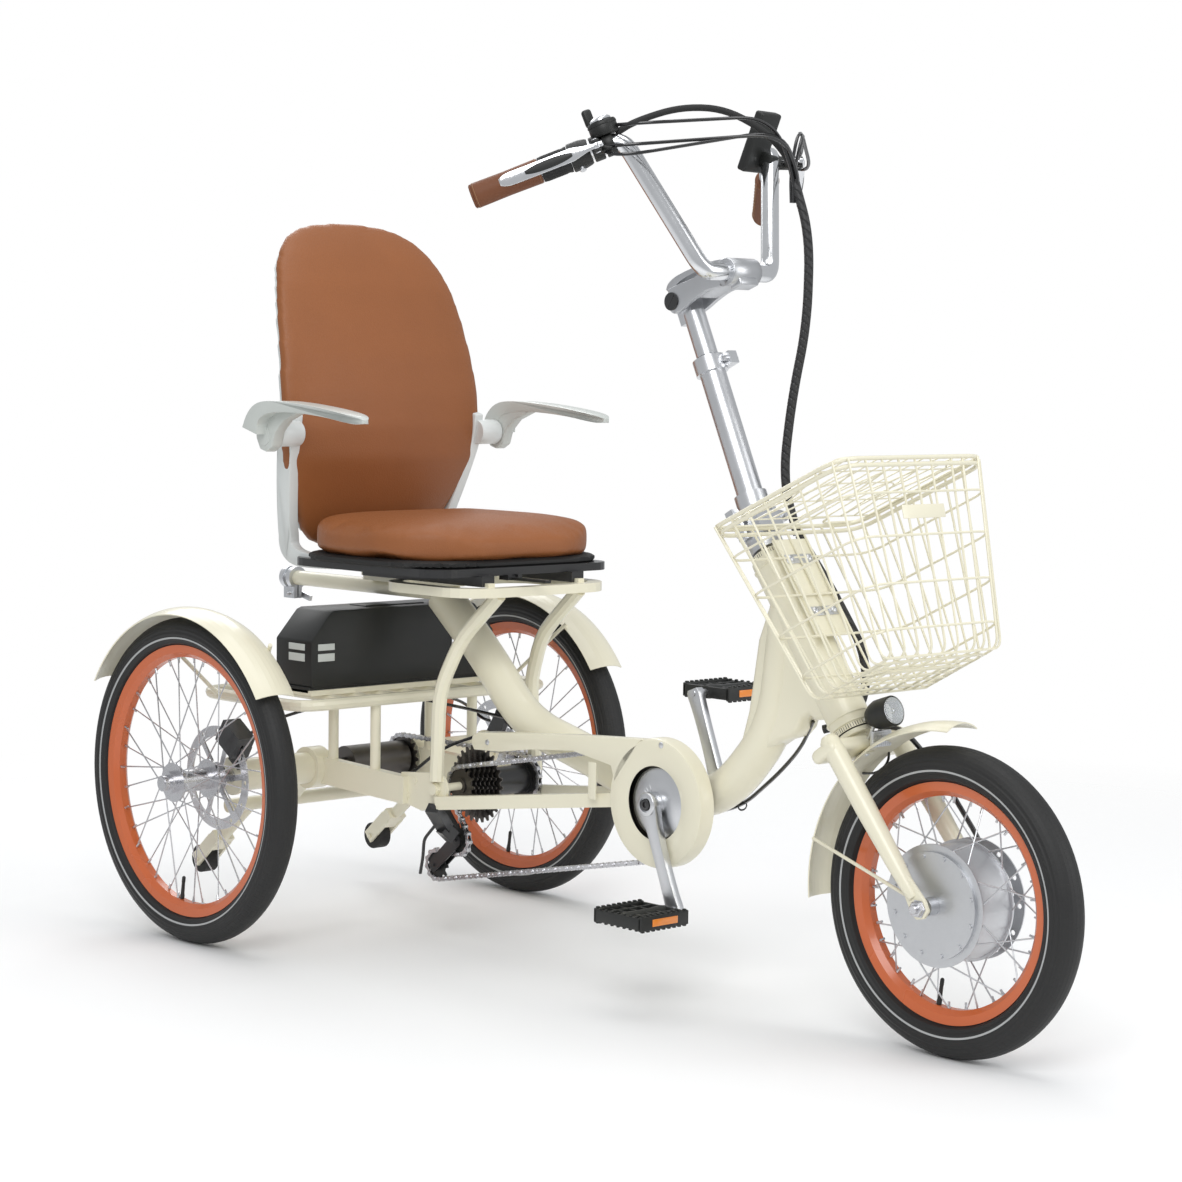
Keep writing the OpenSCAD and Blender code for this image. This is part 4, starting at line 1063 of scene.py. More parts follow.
def chain(wheels, y, name, body_name):
    stops = stepped(belt(wheels), PITCH)
    shapes = [link(True), link(False)]
    verts, faces = [], []
    for i, a in enumerate(stops):
        b = stops[(i + 1) % len(stops)]
        angle = math.atan2(b[1] - a[1], b[0] - a[0])
        m = Matrix.Translation((a[0], y, a[1])) @ Matrix.Rotation(-angle, 4, "Y")
        data = shapes[i % 2].data
        base = len(verts)
        verts += [m @ v.co for v in data.vertices]
        faces += [[base + k for k in p.vertices] for p in data.polygons]
    for s in shapes:
        bpy.data.objects.remove(s)
    mesh = bpy.data.meshes.new(name)
    mesh.from_pydata(verts, [], faces)
    obj = bpy.data.objects.new(name, mesh)
    bpy.context.collection.objects.link(obj)
    put(obj, ground)
    piece(obj, name, body_name, steel, 30)
    print(name, len(stops), "links")
    return obj


bb, jack = (730, 278), (295, 250)
guide, tension = (292, 166), (241, 121)
drive_chain = chain([(*bb, sprocket_radius(40), 1), (*jack, sprocket_radius(14), 1),
                     (*guide, sprocket_radius(11), -1), (*tension, sprocket_radius(11), 1)],
                    -47, "drive_chain", "frame")
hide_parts("chains")
chain([(*jack, sprocket_radius(18), 1), (0, 250, sprocket_radius(18), 1)], 80, "axle_chain", "frame")

# %% [markdown]
# ## Cables
# The brake, throttle and display cables leave the controls, are gathered in a spiral wrap, and run down
# beside the post into the frame. The wrap has to bend where the steering turns and the post folds, so it
# is cut into three lengths where one moving body hands over to the next; none of the lengths is attached
# to a moving body.

# %% Wrapped bundle
wrap = Finish("cable_wrap", (0.02, 0.02, 0.021), 0.5)
px, py, pz = wrap.apart()
band = (((pz * 1.0 + px * 0.45 + py * 0.6) * 88).math("FRACT") - 0.5).math("ABSOLUTE") * 2
wrap.set("Roughness", band * 0.25 + 0.36)
wrap.set("Base Color", wrap.blend_color(band, (0.012, 0.012, 0.013), (0.034, 0.034, 0.035)))
wrap.bump((band * 2.2).math("MINIMUM", 1.0), 0.0016, 0.8)
wrap = wrap.material

BUNDLE = ((893, 46, 662), (864, 45, 736), (878, 46, 850), (903, 46, 950), (905, 46, 1070), (876, 45, 1146))
bundle = rounded([ground @ Vector(p) for p in BUNDLE], 0.05, 8)
dense = []
for a, b in zip(bundle, bundle[1:]):
    n = max(1, int((b - a).length / 0.006))
    dense += [a.lerp(b, k / n) for k in range(n)]
dense.append(bundle[-1])


def cable_length(low_z, high_z, name):
    """One length of the wrap, the part of the bundle between two heights."""
    line = [p for p in dense if low_z - 0.004 <= p.z <= high_z + 0.004]
    obj = tubes([line], 0.0065, 16)
    piece(obj, name, None, wrap, 60)
    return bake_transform(obj)


lengths = [(0.655, 0.755, "cable_wrap_low", "steerer", "post"),
           (0.742, 0.91, "cable_wrap_middle", "post", "riser"),
           (0.897, 1.15, "cable_wrap_high", "riser", "bar")]
for low_z, high_z, name, a, b in lengths:
    cable_length(low_z, high_z, name)
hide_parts("control_cables")
print("bundle points", len(dense))

# %% [markdown]
# Below the hinge the wrap lies on the frame: through the basket, past the head tube, and into the hole in the
# gusset. The thinner cables come out of it again and run under the tubes to the brakes and the hub.

# %% Cables on the frame
def in_steer(points):
    return [steer @ Vector(p) for p in points]


def smooth_line(points, r=0.03, n=6):
    return rounded(points, r, n)


low_bundle = smooth_line(in_steer([(20, 50, 297), (31, 50, 200), (33, 52, 100), (2, 45, 42), (-40, 26, 32),
                                   (-60, 15, 38)]), 0.035)
loom = tubes([low_bundle], 0.0062, 16)
piece(loom, "frame_cable_wrap", "frame", wrap, 60)
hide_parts("cable_loom")
under = [
    smooth_line([ground @ Vector(p) for p in ((969, 2, 414), (930, 22, 372), (880, 32, 330), (812, 31, 276),
                                              (730, 31, 252), (640, 30, 262), (520, 30, 300), (400, 34, 336),
                                              (320, 46, 345), (190, 46, 352), (60, 45, 357))]),
    smooth_line([ground @ Vector(p) for p in ((640, 24, 258), (520, 24, 292), (400, 26, 326), (300, 10, 330),
                                              (230, -30, 300), (200, -62, 262))]),
]
thin_cables = tubes(under, 0.0028, 10)
piece(thin_cables, "frame_cables_thin", "frame", black_gloss, 60)
brakes = []
for side in (-1, 1):
    brakes.append(smooth_line([ground @ Vector(p) for p in (
        (60, 45, 357), (40, 130 * side, 352), (10, 205 * side, 330), (0, 250 * side, 300),
        (8, 262 * side, 296))]))
brakes[0][0] = ground @ Vector((60, 45, 357))
piece(tubes(brakes, 0.0026, 10), "rear_brake_cables", "frame", black_gloss, 60)
motor_cable = smooth_line(in_steer([(30, 16, -8), (44, 42, -20), (46, 68, -90),
                                    (axle_in_steer.x + 22, 80, axle_in_steer.z + 60),
                                    (axle_in_steer.x + 4, 79, axle_in_steer.z + 8)]), 0.03)
piece(tubes([motor_cable], 0.0035, 12), "motor_cable", "steerer", black_gloss, 60)
ties = []
for p in ((812, 31, 276), (640, 28, 260), (520, 28, 297)):
    ties.append(ground @ Vector(p))
tie_rings = []
for p in ties:
    ring = [p + Vector((0, math.cos(a) * 0.0085, math.sin(a) * 0.006))
            for a in (2 * math.pi * k / 20 for k in range(20))]
    tie_rings.append(ring)
piece(tubes(tie_rings, 0.0013, 6, closed=True), "cable_ties", "frame", black_plastic)

# %% Control cables from the levers to the wrap
top_of_wrap = ground @ Vector((876, 45, 1146))
starts = []
for m, side in ((grip_right, -1), (grip_left, 1)):
    starts.append((m @ Vector((18, 3, 190)), m @ Vector((44, 12, 214)), side))
    starts.append((m @ Vector((24, 8, 186)), m @ Vector((60, 26, 206)), side))
starts.append((grip_right @ Vector((6, -20, 214)), grip_right @ Vector((40, -8, 244)), -1))
leads = []
for i, (a, b, side) in enumerate(starts):
    c = top_of_wrap + Vector((0.006 * math.cos(i * 1.3), 0.006 * math.sin(i * 1.3), 0.012))
    d = top_of_wrap + Vector((0.004 * math.cos(i * 1.3), 0.004 * math.sin(i * 1.3), -0.03))
    e = c + Vector((-0.004 - 0.003 * i, 0.03 * side, 0.05 + 0.006 * i))
    leads.append(rounded([a, b, e, c, d], 0.05, 8))
piece(tubes(leads, 0.0026, 10), "lever_cables", "bar", black_gloss, 60)
bundle = smooth_line([ground @ Vector(p) for p in ((726, -150, 1206), (738, -128, 1222), (770, -76, 1243),
                                                   (800, -20, 1244), (836, 24, 1216), (868, 43, 1176),
                                                   (876, 45, 1140))])
piece(tubes([bundle], 0.0048, 16), "bar_cable_bundle", "bar", rubber, 60)

# %% [markdown]
# ## Handlebar and controls
# The bar is one chromed tube, bent twice on each side. The grips are leather sleeves laced along the bottom,
# and everything else on the bar is a clamp with a lever or a button on it.

# %% Handlebar
bar_half = [(590, -287, 1118), (733, -146, 1198), (813, -66, 1021), (817, -40, 1021), (817, 0, 1021)]
bar_line = rounded([*bar_half, *[(x, -y, z) for x, y, z in bar_half[-2::-1]]], 22, 7)
bar = put(tubes([bar_line], 12.7, 32), ground)
piece(bar, "handlebar_tube", "bar", chrome, 60)
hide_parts("handlebar")

# %% Grips with a laced seam
grips = []
laces = []
for m, long in ((grip_right, 97), (grip_left, 124)):
    grip = turned([(12.75, 0.2), (16.2, 0), (17.4, 1.6), (17.5, 6), (16.9, long * 0.5), (17.4, long - 5),
                   (17.0, long - 0.6), (12.75, long), (12.75, 0.2)], (0, 0, 0), (0, 0, 1), 48)
    end = turned([(0, -3), (14.6, -3), (16.9, -1.6), (17.0, -0.1), (0, -0.1)], (0, 0, 0), (0, 0, 1))
    grips += [put(grip, m), put(end, m)]
    steps = int(long / 5.2)
    zigzag = []
    for k in range(steps):
        z = 4 + k * (long - 8) / (steps - 1)
        for a, dz in ((150, 0), (174, 2.4)):
            t = math.radians(a if k % 2 else 324 - a)
            zigzag.append(Vector((17.45 * math.cos(t), 17.45 * math.sin(t), z + dz)))
    laces.append(put(tubes([zigzag], 0.55, 6), m))
    for z in (3.2, long - 3.2):
        hoop = [Vector((17.5 * math.cos(t), 17.5 * math.sin(t), z)) for t in
                (2 * math.pi * k / 36 for k in range(36))]
        laces.append(put(tubes([hoop], 0.5, 6, closed=True), m))
grips = join("grips", grips)
piece(grips, "leather_grips", "bar", brown, 50)
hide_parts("grips")
piece(join("laces", laces), "grip_stitching", "bar", thread, 60)

# %% Throttle sleeve
sleeve_line = [(12.8, 97.4), (16.6, 97.4), (17.4, 98.6), (17.4, 134), (18.2, 137), (18.2, 139.4),
               (12.8, 139.9),
               (12.8, 97.4)]
throttle = turned(sleeve_line, (0, 0, 0), (0, 0, 1), 48)
ribs = []
for k in range(24):
    a = 2 * math.pi * k / 24
    ribs.append([Vector((17.1 * math.cos(a), 17.1 * math.sin(a), z)) for z in (102, 131)])
throttle = put(join("throttle", [throttle, tubes(ribs, 0.7, 6)]), grip_right)
piece(throttle, "throttle_twist_sleeve", "throttle", rubber)
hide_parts("throttle_sleeve")

# %% Clamps, perches and the brake levers
LEVER_X = 44
controls = []
chromed = []
for m in (grip_right, grip_left):
    clamp = turned([(12.75, 172), (16.4, 172), (17.4, 173.2), (17.4, 186), (16.4, 187.2), (12.75, 187.2),
                    (12.75, 172)], (0, 0, 0), (0, 0, 1))
    arm_a = box((12, -8.5, 174.5), (LEVER_X + 5, -4.3, 186), 1.6)
    arm_b = box((12, 4.3, 174.5), (LEVER_X + 5, 8.5, 186), 1.6)
    bridge = box((12, -8.5, 172.5), (LEVER_X - 12, 8.5, 187), 3)
    barrel = turned([(0, 0), (5.2, 0), (5.6, 2), (4.4, 4), (5.6, 6), (5.6, 12), (4.2, 16), (3.2, 22),
                     (0, 22)],
                    (22, 5, 182), (0.55, 0.25, 0.8), 24)
    controls += [put(p, m) for p in (clamp, arm_a, arm_b, bridge, barrel)]
    pin = turned([(0, -9.6), (4.2, -9.6), (4.2, -8.6), (3.0, -8.4), (3.0, 8.6), (3.8, 8.8), (3.8, 9.8),
                  (0, 9.8)],
                 (LEVER_X, 0, 180), (0, 1, 0), 24)
    screw = turned([(0, 0), (4.4, 0), (4.4, 3.4), (3.6, 4.2), (2.2, 4.2), (2.0, 2.6), (0, 2.6)],
                   (-15, -4, 180),
                   (-1, -0.2, 0), 18)
    chromed += [put(p, m) for p in (pin, screw)]
housing = turned([(12.8, 140.4), (18.6, 140.4), (20, 142), (20, 158), (18.4, 166), (17.0, 169.3),
                  (12.8, 169.3),
                  (12.8, 140.4)], (0, 0, 0), (0, 0, 1))
pod_clamp = turned([(12.75, 190), (16.6, 190), (17.4, 191), (17.4, 203), (16.6, 204.2), (12.75, 204.2),
                    (12.75, 190)], (0, 0, 0), (0, 0, 1))
pod = turned([(0, 12), (19, 12), (20, 14), (20, 30), (18.6, 31.8), (0, 31.8)], (0, 0, 197), (0, -1, 0))
pod_rim = turned([(16.2, 26), (20.3, 26), (20.7, 27.4), (20.3, 29), (16.2, 29), (16.2, 26)], (0, 0, 197),
                 (0, -1, 0))
controls += [put(p, grip_right) for p in (housing, pod_clamp, pod, pod_rim)]
bolt = turned([(0, 18.5), (4.6, 18.5), (4.6, 23.5), (3.6, 24.6), (0, 24.6)], (0, 0, 152), (0.4, 0.9, 0), 12)
chromed.append(put(bolt, grip_right))
screen_turn = (Matrix.Translation((738, 118, 1210)) @ Matrix.Rotation(math.radians(8), 4, "Z")
               @ Matrix.Rotation(math.radians(-68), 4, "Y"))
case = box((-44, -24, -8), (44, 24, 7), 4, 4)
case.data.transform(screen_turn)
arm = box((-30, 6, -26), (-12, 24, -6), 3)
arm.data.transform(screen_turn)
buttons = []
for y in (-20, 0, 20):
    key = turned([(0, 5), (5.4, 5), (5.4, 8.2), (4.4, 9), (0, 9)], (-34, y * 0.7, 0), (0, 0, 1), 24)
    key.data.transform(screen_turn)
    buttons.append(key)
controls += [put(case, ground), put(arm, ground)]
chromed += [put(p, ground) for p in buttons]
controls = join("controls", controls)
piece(controls, "bar_clamps_and_housings", "bar", black_plastic)
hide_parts("bar_controls")
piece(join("chromed", chromed), "bar_screws_and_buttons", "bar", silver)
glass = box((-24, -20, 6.5), (40, 20, 8), 1.2)
glass.data.transform(screen_turn)
piece(put(glass, ground), "display_glass", "bar", black_gloss)

LEVER_LINE = ((46, 190, 4), (44, 180, 7), (47, 168, 5), (49, 150, 3.4), (48, 120, 3.2), (47.5, 90, 3.2),
              (49, 64, 3.4), (50, 50, 3.6), (51, 41, 3.2))
INSERT_LINE = ((51.2, 146, 1.4), (51.2, 136, 2.0), (50.4, 112, 2.2), (50.2, 88, 2.0), (51, 78, 1.4))
for m, name, body_name in ((grip_right, "brake_lever_right", "brake_lever_right"),
                           (grip_left, "brake_lever_left", "brake_lever_left")):
    blade = plate(ribbon_outline(smoothed(LEVER_LINE)), 18, -9, 1.4)
    for v in blade.data.vertices:
        neck = min(1.0, max(0.0, (v.co.z - 146) / 24))
        tip = min(1.0, max(0.0, (60 - v.co.z) / 19))
        v.co.y *= (1 - 0.6 * neck) * math.sqrt(1 - 0.8 * tip * tip)
    boss = turned([(3.1, -3.7), (7.2, -3.7), (7.6, -3.2), (7.6, 3.2), (7.2, 3.7), (3.1, 3.7), (3.1, -3.7)],
                  (LEVER_X, 0, 180))
    blade = put(join("blade", [blade, boss]), m)
    piece(blade, name + "_blade", body_name, chrome, 50)
    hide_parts(name)
    pad = plate(ribbon_outline(smoothed(INSERT_LINE)), 12.5, -6.25, 1.2)
    for v in pad.data.vertices:
        middle = (v.co.z - 112) / 36
        v.co.y *= math.sqrt(max(0.12, 1 - middle * middle))
    piece(put(pad, m), name + "_insert", body_name, black_plastic, 50)

# %% Thumb shifter
dome = turned([(0, 32.4), (14.4, 32.4), (15, 33.2), (14.6, 35.4), (11, 38.2), (6, 39.6), (0, 40)],
              (0, 0, 197),
              (0, -1, 0))
paddle_turn = Matrix.Translation((0, 0, 197)) @ Matrix.Rotation(math.radians(90), 4, "X") @ Matrix.Rotation(
    math.radians(200), 4, "Z")
stalk = box((6, -5, 32.5), (44, 5, 37), 2)
tab = box((38, -7, 32.5), (47.6, 7, 58), 4.4, 4)
tab.data.transform(Matrix.Translation((0, 0, 0)))
for p in (stalk, tab):
    p.data.transform(paddle_turn)
piece(put(dome, grip_right), "shifter_dome", "shifter_lever", chrome)
paddle = put(join("paddle", [stalk, tab]), grip_right)
piece(paddle, "shifter_paddle", "shifter_lever", black_plastic)
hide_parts("shifter_lever")
print("controls done")

# %% [markdown]
# ## Stem
# The forged stem has two cheeks that clasp the riser, a waist, and a split clamp round the bar. A long lock
# lever lies along its top, and the pivot screw hides under a slotted black cap on each side.

# %% Stem, clamp and lock lever
cheek_line = smoothed(((-2, 0, 18.5), (16, 1, 18), (40, 2, 14), (70, 3, 12), (96, 1, 16)))
cheeks = [plate(ribbon_outline(cheek_line), 8.4, y, 2.6) for y in (18.3, -26.7)]
waist = plate(ribbon_outline(smoothed(((42, 1, 12), (60, 2, 13), (84, 2, 13), (100, 0, 15)))), 37.4, -18.7, 4)
clasp = turned([(12.8, -27), (18.4, -27), (19.6, -25.6), (19.6, 25.6), (18.4, 27), (12.8, 27), (12.8, -27)],
               (111, 0, 0), steps=64)
lip = box((92, -23, 9), (112, 23, 20), 3)
foot = box((104, -18, -24), (126, 18, -12), 3)
axle = turned([(0, -27.4), (6, -27.4), (6, 27.4), (0, 27.4)], (0, 0, 0), steps=24)
stem_body = put(join("stem_body", [*cheeks, waist, clasp, lip, foot, axle]), stem)
piece(stem_body, "stem_forging", "bar", cast, 45)
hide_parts("bar_stem")
caps = []
for side in (-1, 1):
    cap = turned([(0, 0), (12.5, 0), (13, 0.8), (12.6, 2.2), (0, 2.6)], (0, side * 26.8, 0), (0, side, 0), 32)
    slot_bar = box((-11, side * 29.2 - 0.5, -0.9), (11, side * 29.2 + 0.5, 0.9), 0.3, 2,
                   ((0, 0, 0), "Y", -35))
    caps += [cap, slot_bar]
piece(put(join("caps", caps), stem), "stem_pivot_caps", "bar", black_gloss)
lever_line = smoothed(((-14, 21, 4), (-6, 26, 7), (14, 31, 4.6), (44, 31, 3.8), (74, 28, 3.2), (98, 23, 2.2)))
lever = plate(ribbon_outline(lever_line), 30, -15, 2)
for v in lever.data.vertices:
    v.co.y *= 1.0 - 0.45 * max(0.0, min(1.0, (v.co.x - 10) / 90))
piece(put(lever, stem), "stem_lock_blade", "stem_lock_lever", cast, 45)
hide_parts("stem_lock_lever")

# %% [markdown]
# ## Cranks, chain guard and pedals
# A crank arm is forged: thick at the axle, waisted, with a round eye for the pedal. The guard is a shallow
# pressed cup with an arm to the rear, and the pedals are moulded cages with a reflector on each long side.

# %% Cranks and chainring
cranks = []
bolts = []
centre = joint_at("crank_spin")
crank_axes = Matrix.Translation(centre) @ MM
for side, body_name in ((-1, "pedal_right_spin"), (1, "pedal_left_spin")):
    reach = (joint_at(body_name) - centre) * 1000
    direction = Vector((reach.x, 0, reach.z)).normalized()
    turn = Matrix.Rotation(-math.atan2(direction.z, direction.x), 4, "Y")
    line = smoothed(((-2, 0, 16), (12, 0, 15.5), (34, 0, 10.5), (90, 0, 9.5), (134, 0, 10.5), (152, 0, 12.5),
                     (158, 0, 9)))
    arm = plate(ribbon_outline(line), 12.4, 65.8, 3.6)
    for v in arm.data.vertices:
        v.co.y += 4.0 * math.sin(math.pi * max(0, min(1, v.co.x / 150))) * 0.35
    boss = turned([(0, 58), (15, 58), (17, 62), (17, 79), (15.6, 80.4), (10.6, 80.6), (10.4, 78), (0, 78)],
                  (0, 0, 0), steps=40)
    spindle = turned([(0, 64), (5, 64), (5, 178), (0, 178)], (152, 0, 0), steps=20)
    whole = join("arm", [arm, boss, spindle])
    screw = turned([(0, 77), (8.6, 77), (8.8, 80), (8, 81.4), (4, 81.6), (3.4, 79.6), (0, 79.6)], (0, 0, 0),
                   steps=24)
    eye = turned([(0, 78.6), (5, 78.6), (5.2, 79.2), (3.4, 79.4), (3.0, 78.9), (0, 78.9)], (152, 0, 0),
                 steps=18)
    if side < 0:
        whole, old = mirrored(whole), whole
        bpy.data.objects.remove(old)
        screw, old = mirrored(screw), screw
        bpy.data.objects.remove(old)
        eye, old = mirrored(eye), eye
        bpy.data.objects.remove(old)
    for p in (whole, screw, eye):
        p.data.transform(turn)
        put(p, crank_axes)
    cranks.append(whole)
    bolts += [screw, eye]
disc = turned([(8, -61), (30, -60), (44, -57.4), (50, -55), (50, -53), (8, -53), (8, -61)], (0, 0, 0),
              steps=64)
cranks.append(put(disc, crank_axes))
cranks = join("cranks", cranks)
piece(cranks, "crank_arms", "crank", silver, 45)
piece(join("bolts", bolts), "crank_bolts", "crank", black_gloss)
teeth = []
ring_r = sprocket_radius(40)
for i in range(40):
    for k, q in ((-0.32, -3.4), (-0.12, 2.8), (0.12, 2.8), (0.32, -3.4)):
        a = 2 * math.pi * (i + k) / 40
        teeth.append(((ring_r + q) * math.cos(a), (ring_r + q) * math.sin(a)))
wheel = plate(teeth, 2, -48)
axle = turned([(0, -70), (8, -70), (8, 70), (0, 70)], (0, 0, 0), steps=32)
outer_plate = turned([(62, -52.4), (86, -52.4), (86.6, -51.6), (86, -50.6), (62, -50.6), (62, -52.4)],
                     (0, 0, 0),
                     steps=96)
ring = put(join("ring", [wheel, axle, outer_plate]), crank_axes)
piece(ring, "chainring_40", "crank", dark_steel, 30)
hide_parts("crank_set")

# %% Chain guard
cup = turned([(53, 0.6), (54, 0), (87, 0), (90.6, 1.2), (92, 4.4), (92, 26), (90.6, 26), (90.4, 5), (88, 2),
              (54, 2), (53, 1.4), (53, 0.6)], (730, -62.5, 278), steps=96)
arm_face = plate([(700, 366), (560, 357), (430, 346), (352, 339), (338, 332), (335, 322), (342, 312),
                  (400, 315),
                  (470, 326), (560, 334), (640, 322), (648, 300)], 2, -62.5, 0.6)
flange = tubes([[Vector((700, -60.8, 364)), Vector((560, -60.8, 355)), Vector((430, -60.8, 344)),
                 Vector((352, -60.8, 337))]], 1.8, 10)
top_flange = plate([(704, 366), (560, 357), (430, 346), (352, 339), (352, 337.6), (430, 344.6), (560, 355.6),
                    (704, 364.6)], 20, -62.3, 0.5)
stay = box((592, -61, 268), (608, -59, 322), 0.6)
guard = put(join("guard", [cup, arm_face, flange, top_flange, stay]), ground)
piece(guard, "chain_guard_pressing", "frame", cream, 40)
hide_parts("chain_guard")
rivets = []
for x, z in ((742, 362), (742, 194), (372, 326)):
    rivets.append(turned([(0, -64.6), (2, -64.4), (4.2, -63.4), (4.6, -62.4), (0, -62.4)], (x, 0, z),
                         steps=20))
piece(put(join("rivets", rivets), ground), "chain_guard_screws", "frame", silver)

# %% Pedals
def pedal(side, name):
    at = joint_at(name + "_spin")
    m = Matrix.Translation((at.x, 0, at.z)) @ MM
    y0, y1 = (92, 184)
    parts = [box((-47, y0, -10), (-41, y1, 10), 1.6), box((41, y0, -10), (47, y1, 10), 1.6),
             box((-46, y0, -8.5), (46, y0 + 5, 8.5), 1.4), box((-46, y1 - 5, -8.5), (46, y1, 8.5), 1.4),
             turned([(5.2, y0 + 1), (9.5, y0 + 1), (10.5, y0 + 8), (9, y0 + 30), (9, y1 - 6), (5.2, y1 - 6),
                     (5.2, y0 + 1)], (0, 0, 0), steps=24)]
    for y in (y0 + 26, y0 + 46, y0 + 66):
        parts.append(box((-42, y - 2, -7), (-9, y + 2, 7), 1))
        parts.append(box((9, y - 2, -7), (42, y + 2, 7), 1))
    for x in (-24, 24):
        parts.append(box((x - 2, y0 + 4, -8), (x + 2, y1 - 4, 8), 1))
    for k in range(9):
        y = y0 + 6 + k * 10
        for x in (-44, 44):
            for z in (-10, 10):
                parts.append(box((x - 2.4, y - 2.4, z - 2), (x + 2.4, y + 2.4, z + 2), 0.8, 2))
    for k in range(7):
        x = -36 + 12 * k
        for z in (-8.6, 8.6):
            parts.append(box((x - 2, y1 - 4.6, z - 1.8), (x + 2, y1 - 0.4, z + 1.8), 0.7, 2))
    cage = join("cage", parts)
    lights = join("lights", [box((46.4, y0 + 22, -5), (48.0, y0 + 70, 5), 0.6),
                             box((-48.0, y0 + 22, -5), (-46.4, y0 + 70, 5), 0.6)])
    if side < 0:
        cage, old = mirrored(cage), cage
        bpy.data.objects.remove(old)
        lights, old = mirrored(lights), lights
        bpy.data.objects.remove(old)
    piece(put(cage, m), name + "_cage", name, black_plastic)
    piece(put(lights, m), name + "_reflectors", name, amber)
    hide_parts(name)


pedal(-1, "pedal_right")
pedal(1, "pedal_left")

# %% [markdown]
# ## Lights, battery and small fittings
# The lamp is a black cup with a silvered bowl, a clear lens and a small grid reflector hung below it. The
# battery is a moulded case on a rail, with a lock, a charging cover and a plain grey plate on its end.

# %% Headlight
LAMP_AT, LAMP_TILT = (1072, 0, 430), math.radians(72)
lamp_axes = axes_at(ground @ Vector(LAMP_AT), (-math.cos(LAMP_TILT), 0, math.sin(LAMP_TILT)),
                    (math.sin(LAMP_TILT), 0, math.cos(LAMP_TILT)))
cup = turned([(0, -2), (8, -2), (12, 1), (17, 9), (20, 17), (20.4, 30), (20.4, 43), (19.4, 44), (18.2, 43.4),
              (18.2, 38), (0, 38)], (0, 0, 0), (0, 0, 1), 64)
piece(put(cup, lamp_axes), "headlight_cup", "steerer", black_plastic)
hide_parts("headlight")
bowl = turned([(0, 38.4), (4, 38.5), (10, 39.6), (15, 41.2), (18, 43.2), (17.4, 43.4), (0, 39.6)], (0, 0, 0),
              (0, 0, 1), 48)
bulb = turned([(0, 39.4), (3.4, 39.6), (3.8, 41.4), (2.4, 42.8), (0, 43.2)], (0, 0, 0), (0, 0, 1), 24)
piece(put(join("bowl", [bowl, bulb]), lamp_axes), "headlight_bowl", "steerer", chrome)
lens = turned([(0, 44.0), (17.8, 43.6), (17.8, 44.6), (12, 45.8), (6, 46.6), (0, 46.8)], (0, 0, 0), (0, 0, 1),
              48)
piece(put(lens, lamp_axes), "headlight_lens", "steerer", clear, 60)
grid_plate = box((1089, -19, 393), (1094, 19, 415), 1.2)
studs = [grid_plate]
for i in range(9):
    for k in range(5):
        stud = box((1093.6, -17.4 + 4 * i, 394.2 + 4.1 * k), (1095.0, -14.4 + 4 * i, 397.3 + 4.1 * k), 0)
        studs.append(stud)
piece(put(join("studs", studs), ground), "headlight_reflector", "steerer", silver)
HOOK_LINE = ((1066, 392), (1078, 404), (1088, 424), (1080, 432), (1070, 428))
hooks = [tubes([rounded([(x, y, z) for x, z in HOOK_LINE], 8)], 2.6, 12) for y in (-8, 8)]
foot = turned([(0, 0), (7, 0), (7.4, 1), (7, 4), (4, 5), (0, 5)], (1064, 0, 384), (1, 0, 0.4), 24)
piece(put(join("hooks", [*hooks, foot]), ground), "headlight_bracket", "steerer", silver)
wire = rounded([(1066, 6, 430), (1078, 26, 404), (1084, 30, 372), (1066, 26, 352), (1044, 20, 350)], 18, 6)
piece(put(tubes([wire], 1.8, 10), ground), "headlight_wire", "steerer", black_gloss)

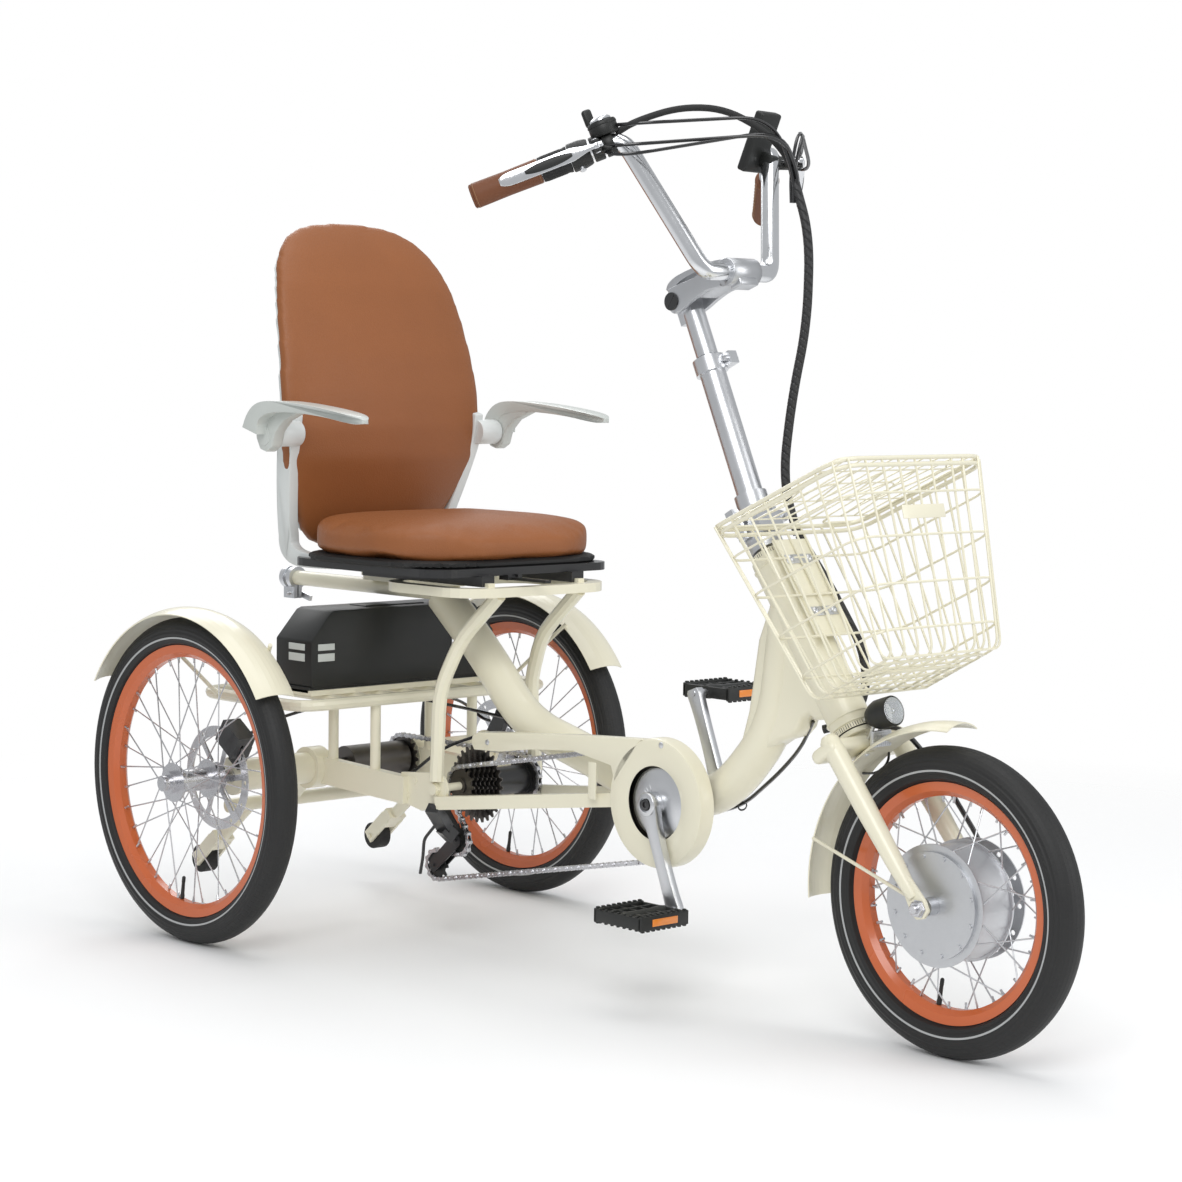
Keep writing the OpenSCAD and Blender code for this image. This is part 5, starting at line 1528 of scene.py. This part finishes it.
# %% Battery
case = plate([(-184, 392), (-180, 389), (180, 389), (184, 392), (185, 420), (185, 462), (146, 505),
              (138, 508),
              (-138, 508), (-146, 505), (-185, 462), (-185, 420)], 90, 0, 6)
case.data.transform(Matrix.Translation((100, 0, 0)) @ Matrix.Rotation(math.radians(90), 4, "Z"))
rail = box((14, -186, 380), (96, 186, 391), 2)
grip_box = box((34, -60, 506), (76, 60, 510), 2)
battery = put(join("battery", [case, rail, grip_box]), ground)
piece(battery, "battery_case", "battery", black_plastic, 30)
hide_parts("battery")
label = []
for z, h in ((452, 5), (436, 6)):
    label.append(box((99.6, -172, z - h), (100.8, -140, z + h), 0.4))
    label.append(box((44, -186.0, z - h), (84, -184.8, z + h), 0.4))
piece(put(join("label", label), ground), "battery_plates", "battery", grey_plastic)
lock = turned([(0, 0), (9, 0), (9.4, 1.4), (8.4, 3.2), (3, 3.4), (2.6, 2.4), (0, 2.4)], (99.4, 150, 440),
              (1, 0, 0))
socket = box((99, 96, 428), (102, 124, 452), 1.2)
piece(put(join("lock", [lock, socket]), ground), "battery_lock", "battery", silver)

# %% Valves and spoke nipples
for name, body_name, y in (("front_rim", "front_wheel", 0), ("rear_right_rim", "rear_right_wheel", -0.335),
                           ("rear_left_rim", "rear_left_wheel", 0.335)):
    low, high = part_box(name)
    centre = (low + high) / 2
    inner = (high.z - low.z) / 2 - 0.019
    m = Matrix.Translation((centre.x, centre.y, centre.z)) @ Matrix.Rotation(math.radians(8), 4, "Y") @ MM
    stem_valve = turned([(0, 0), (3.4, 0), (3.6, -6), (3.0, -8), (2.6, -26), (2.9, -26.5), (2.9, -34),
                         (1.6, -36), (0, -36)], (0, 0, 0), (0, 0, 1), 16)
    stem_valve.data.transform(Matrix.Translation((0, 0, -inner * 1000 + 34)) @ Matrix.Scale(-1, 4, (0, 0, 1))
                              @ Matrix.Translation((0, 0, 34)))
    outwards(stem_valve)
    piece(put(stem_valve, m), name + "_valve", body_name, black_plastic)
    nipples = []
    for k in range(36):
        a = math.radians(10 * k)
        side = 3 if k % 2 == 0 else -3
        at = Vector((inner * 1000 * math.cos(a), side * 0.9, inner * 1000 * math.sin(a)))
        towards = Vector((-math.cos(a), side * 0.02, -math.sin(a)))
        nipples.append(turned([(0, -1), (2.2, -1), (2.2, 3), (1.7, 4), (1.7, 9), (0, 9)], at, towards, 8))
    flip = Matrix.Translation(centre) @ MM
    if name == "rear_right_rim":
        flip = Matrix.Translation(centre) @ Matrix.Scale(-1, 4, (0, 1, 0)) @ MM
    piece(put(join("nipples", nipples), flip), name + "_nipples", body_name, steel)
print("fittings done")
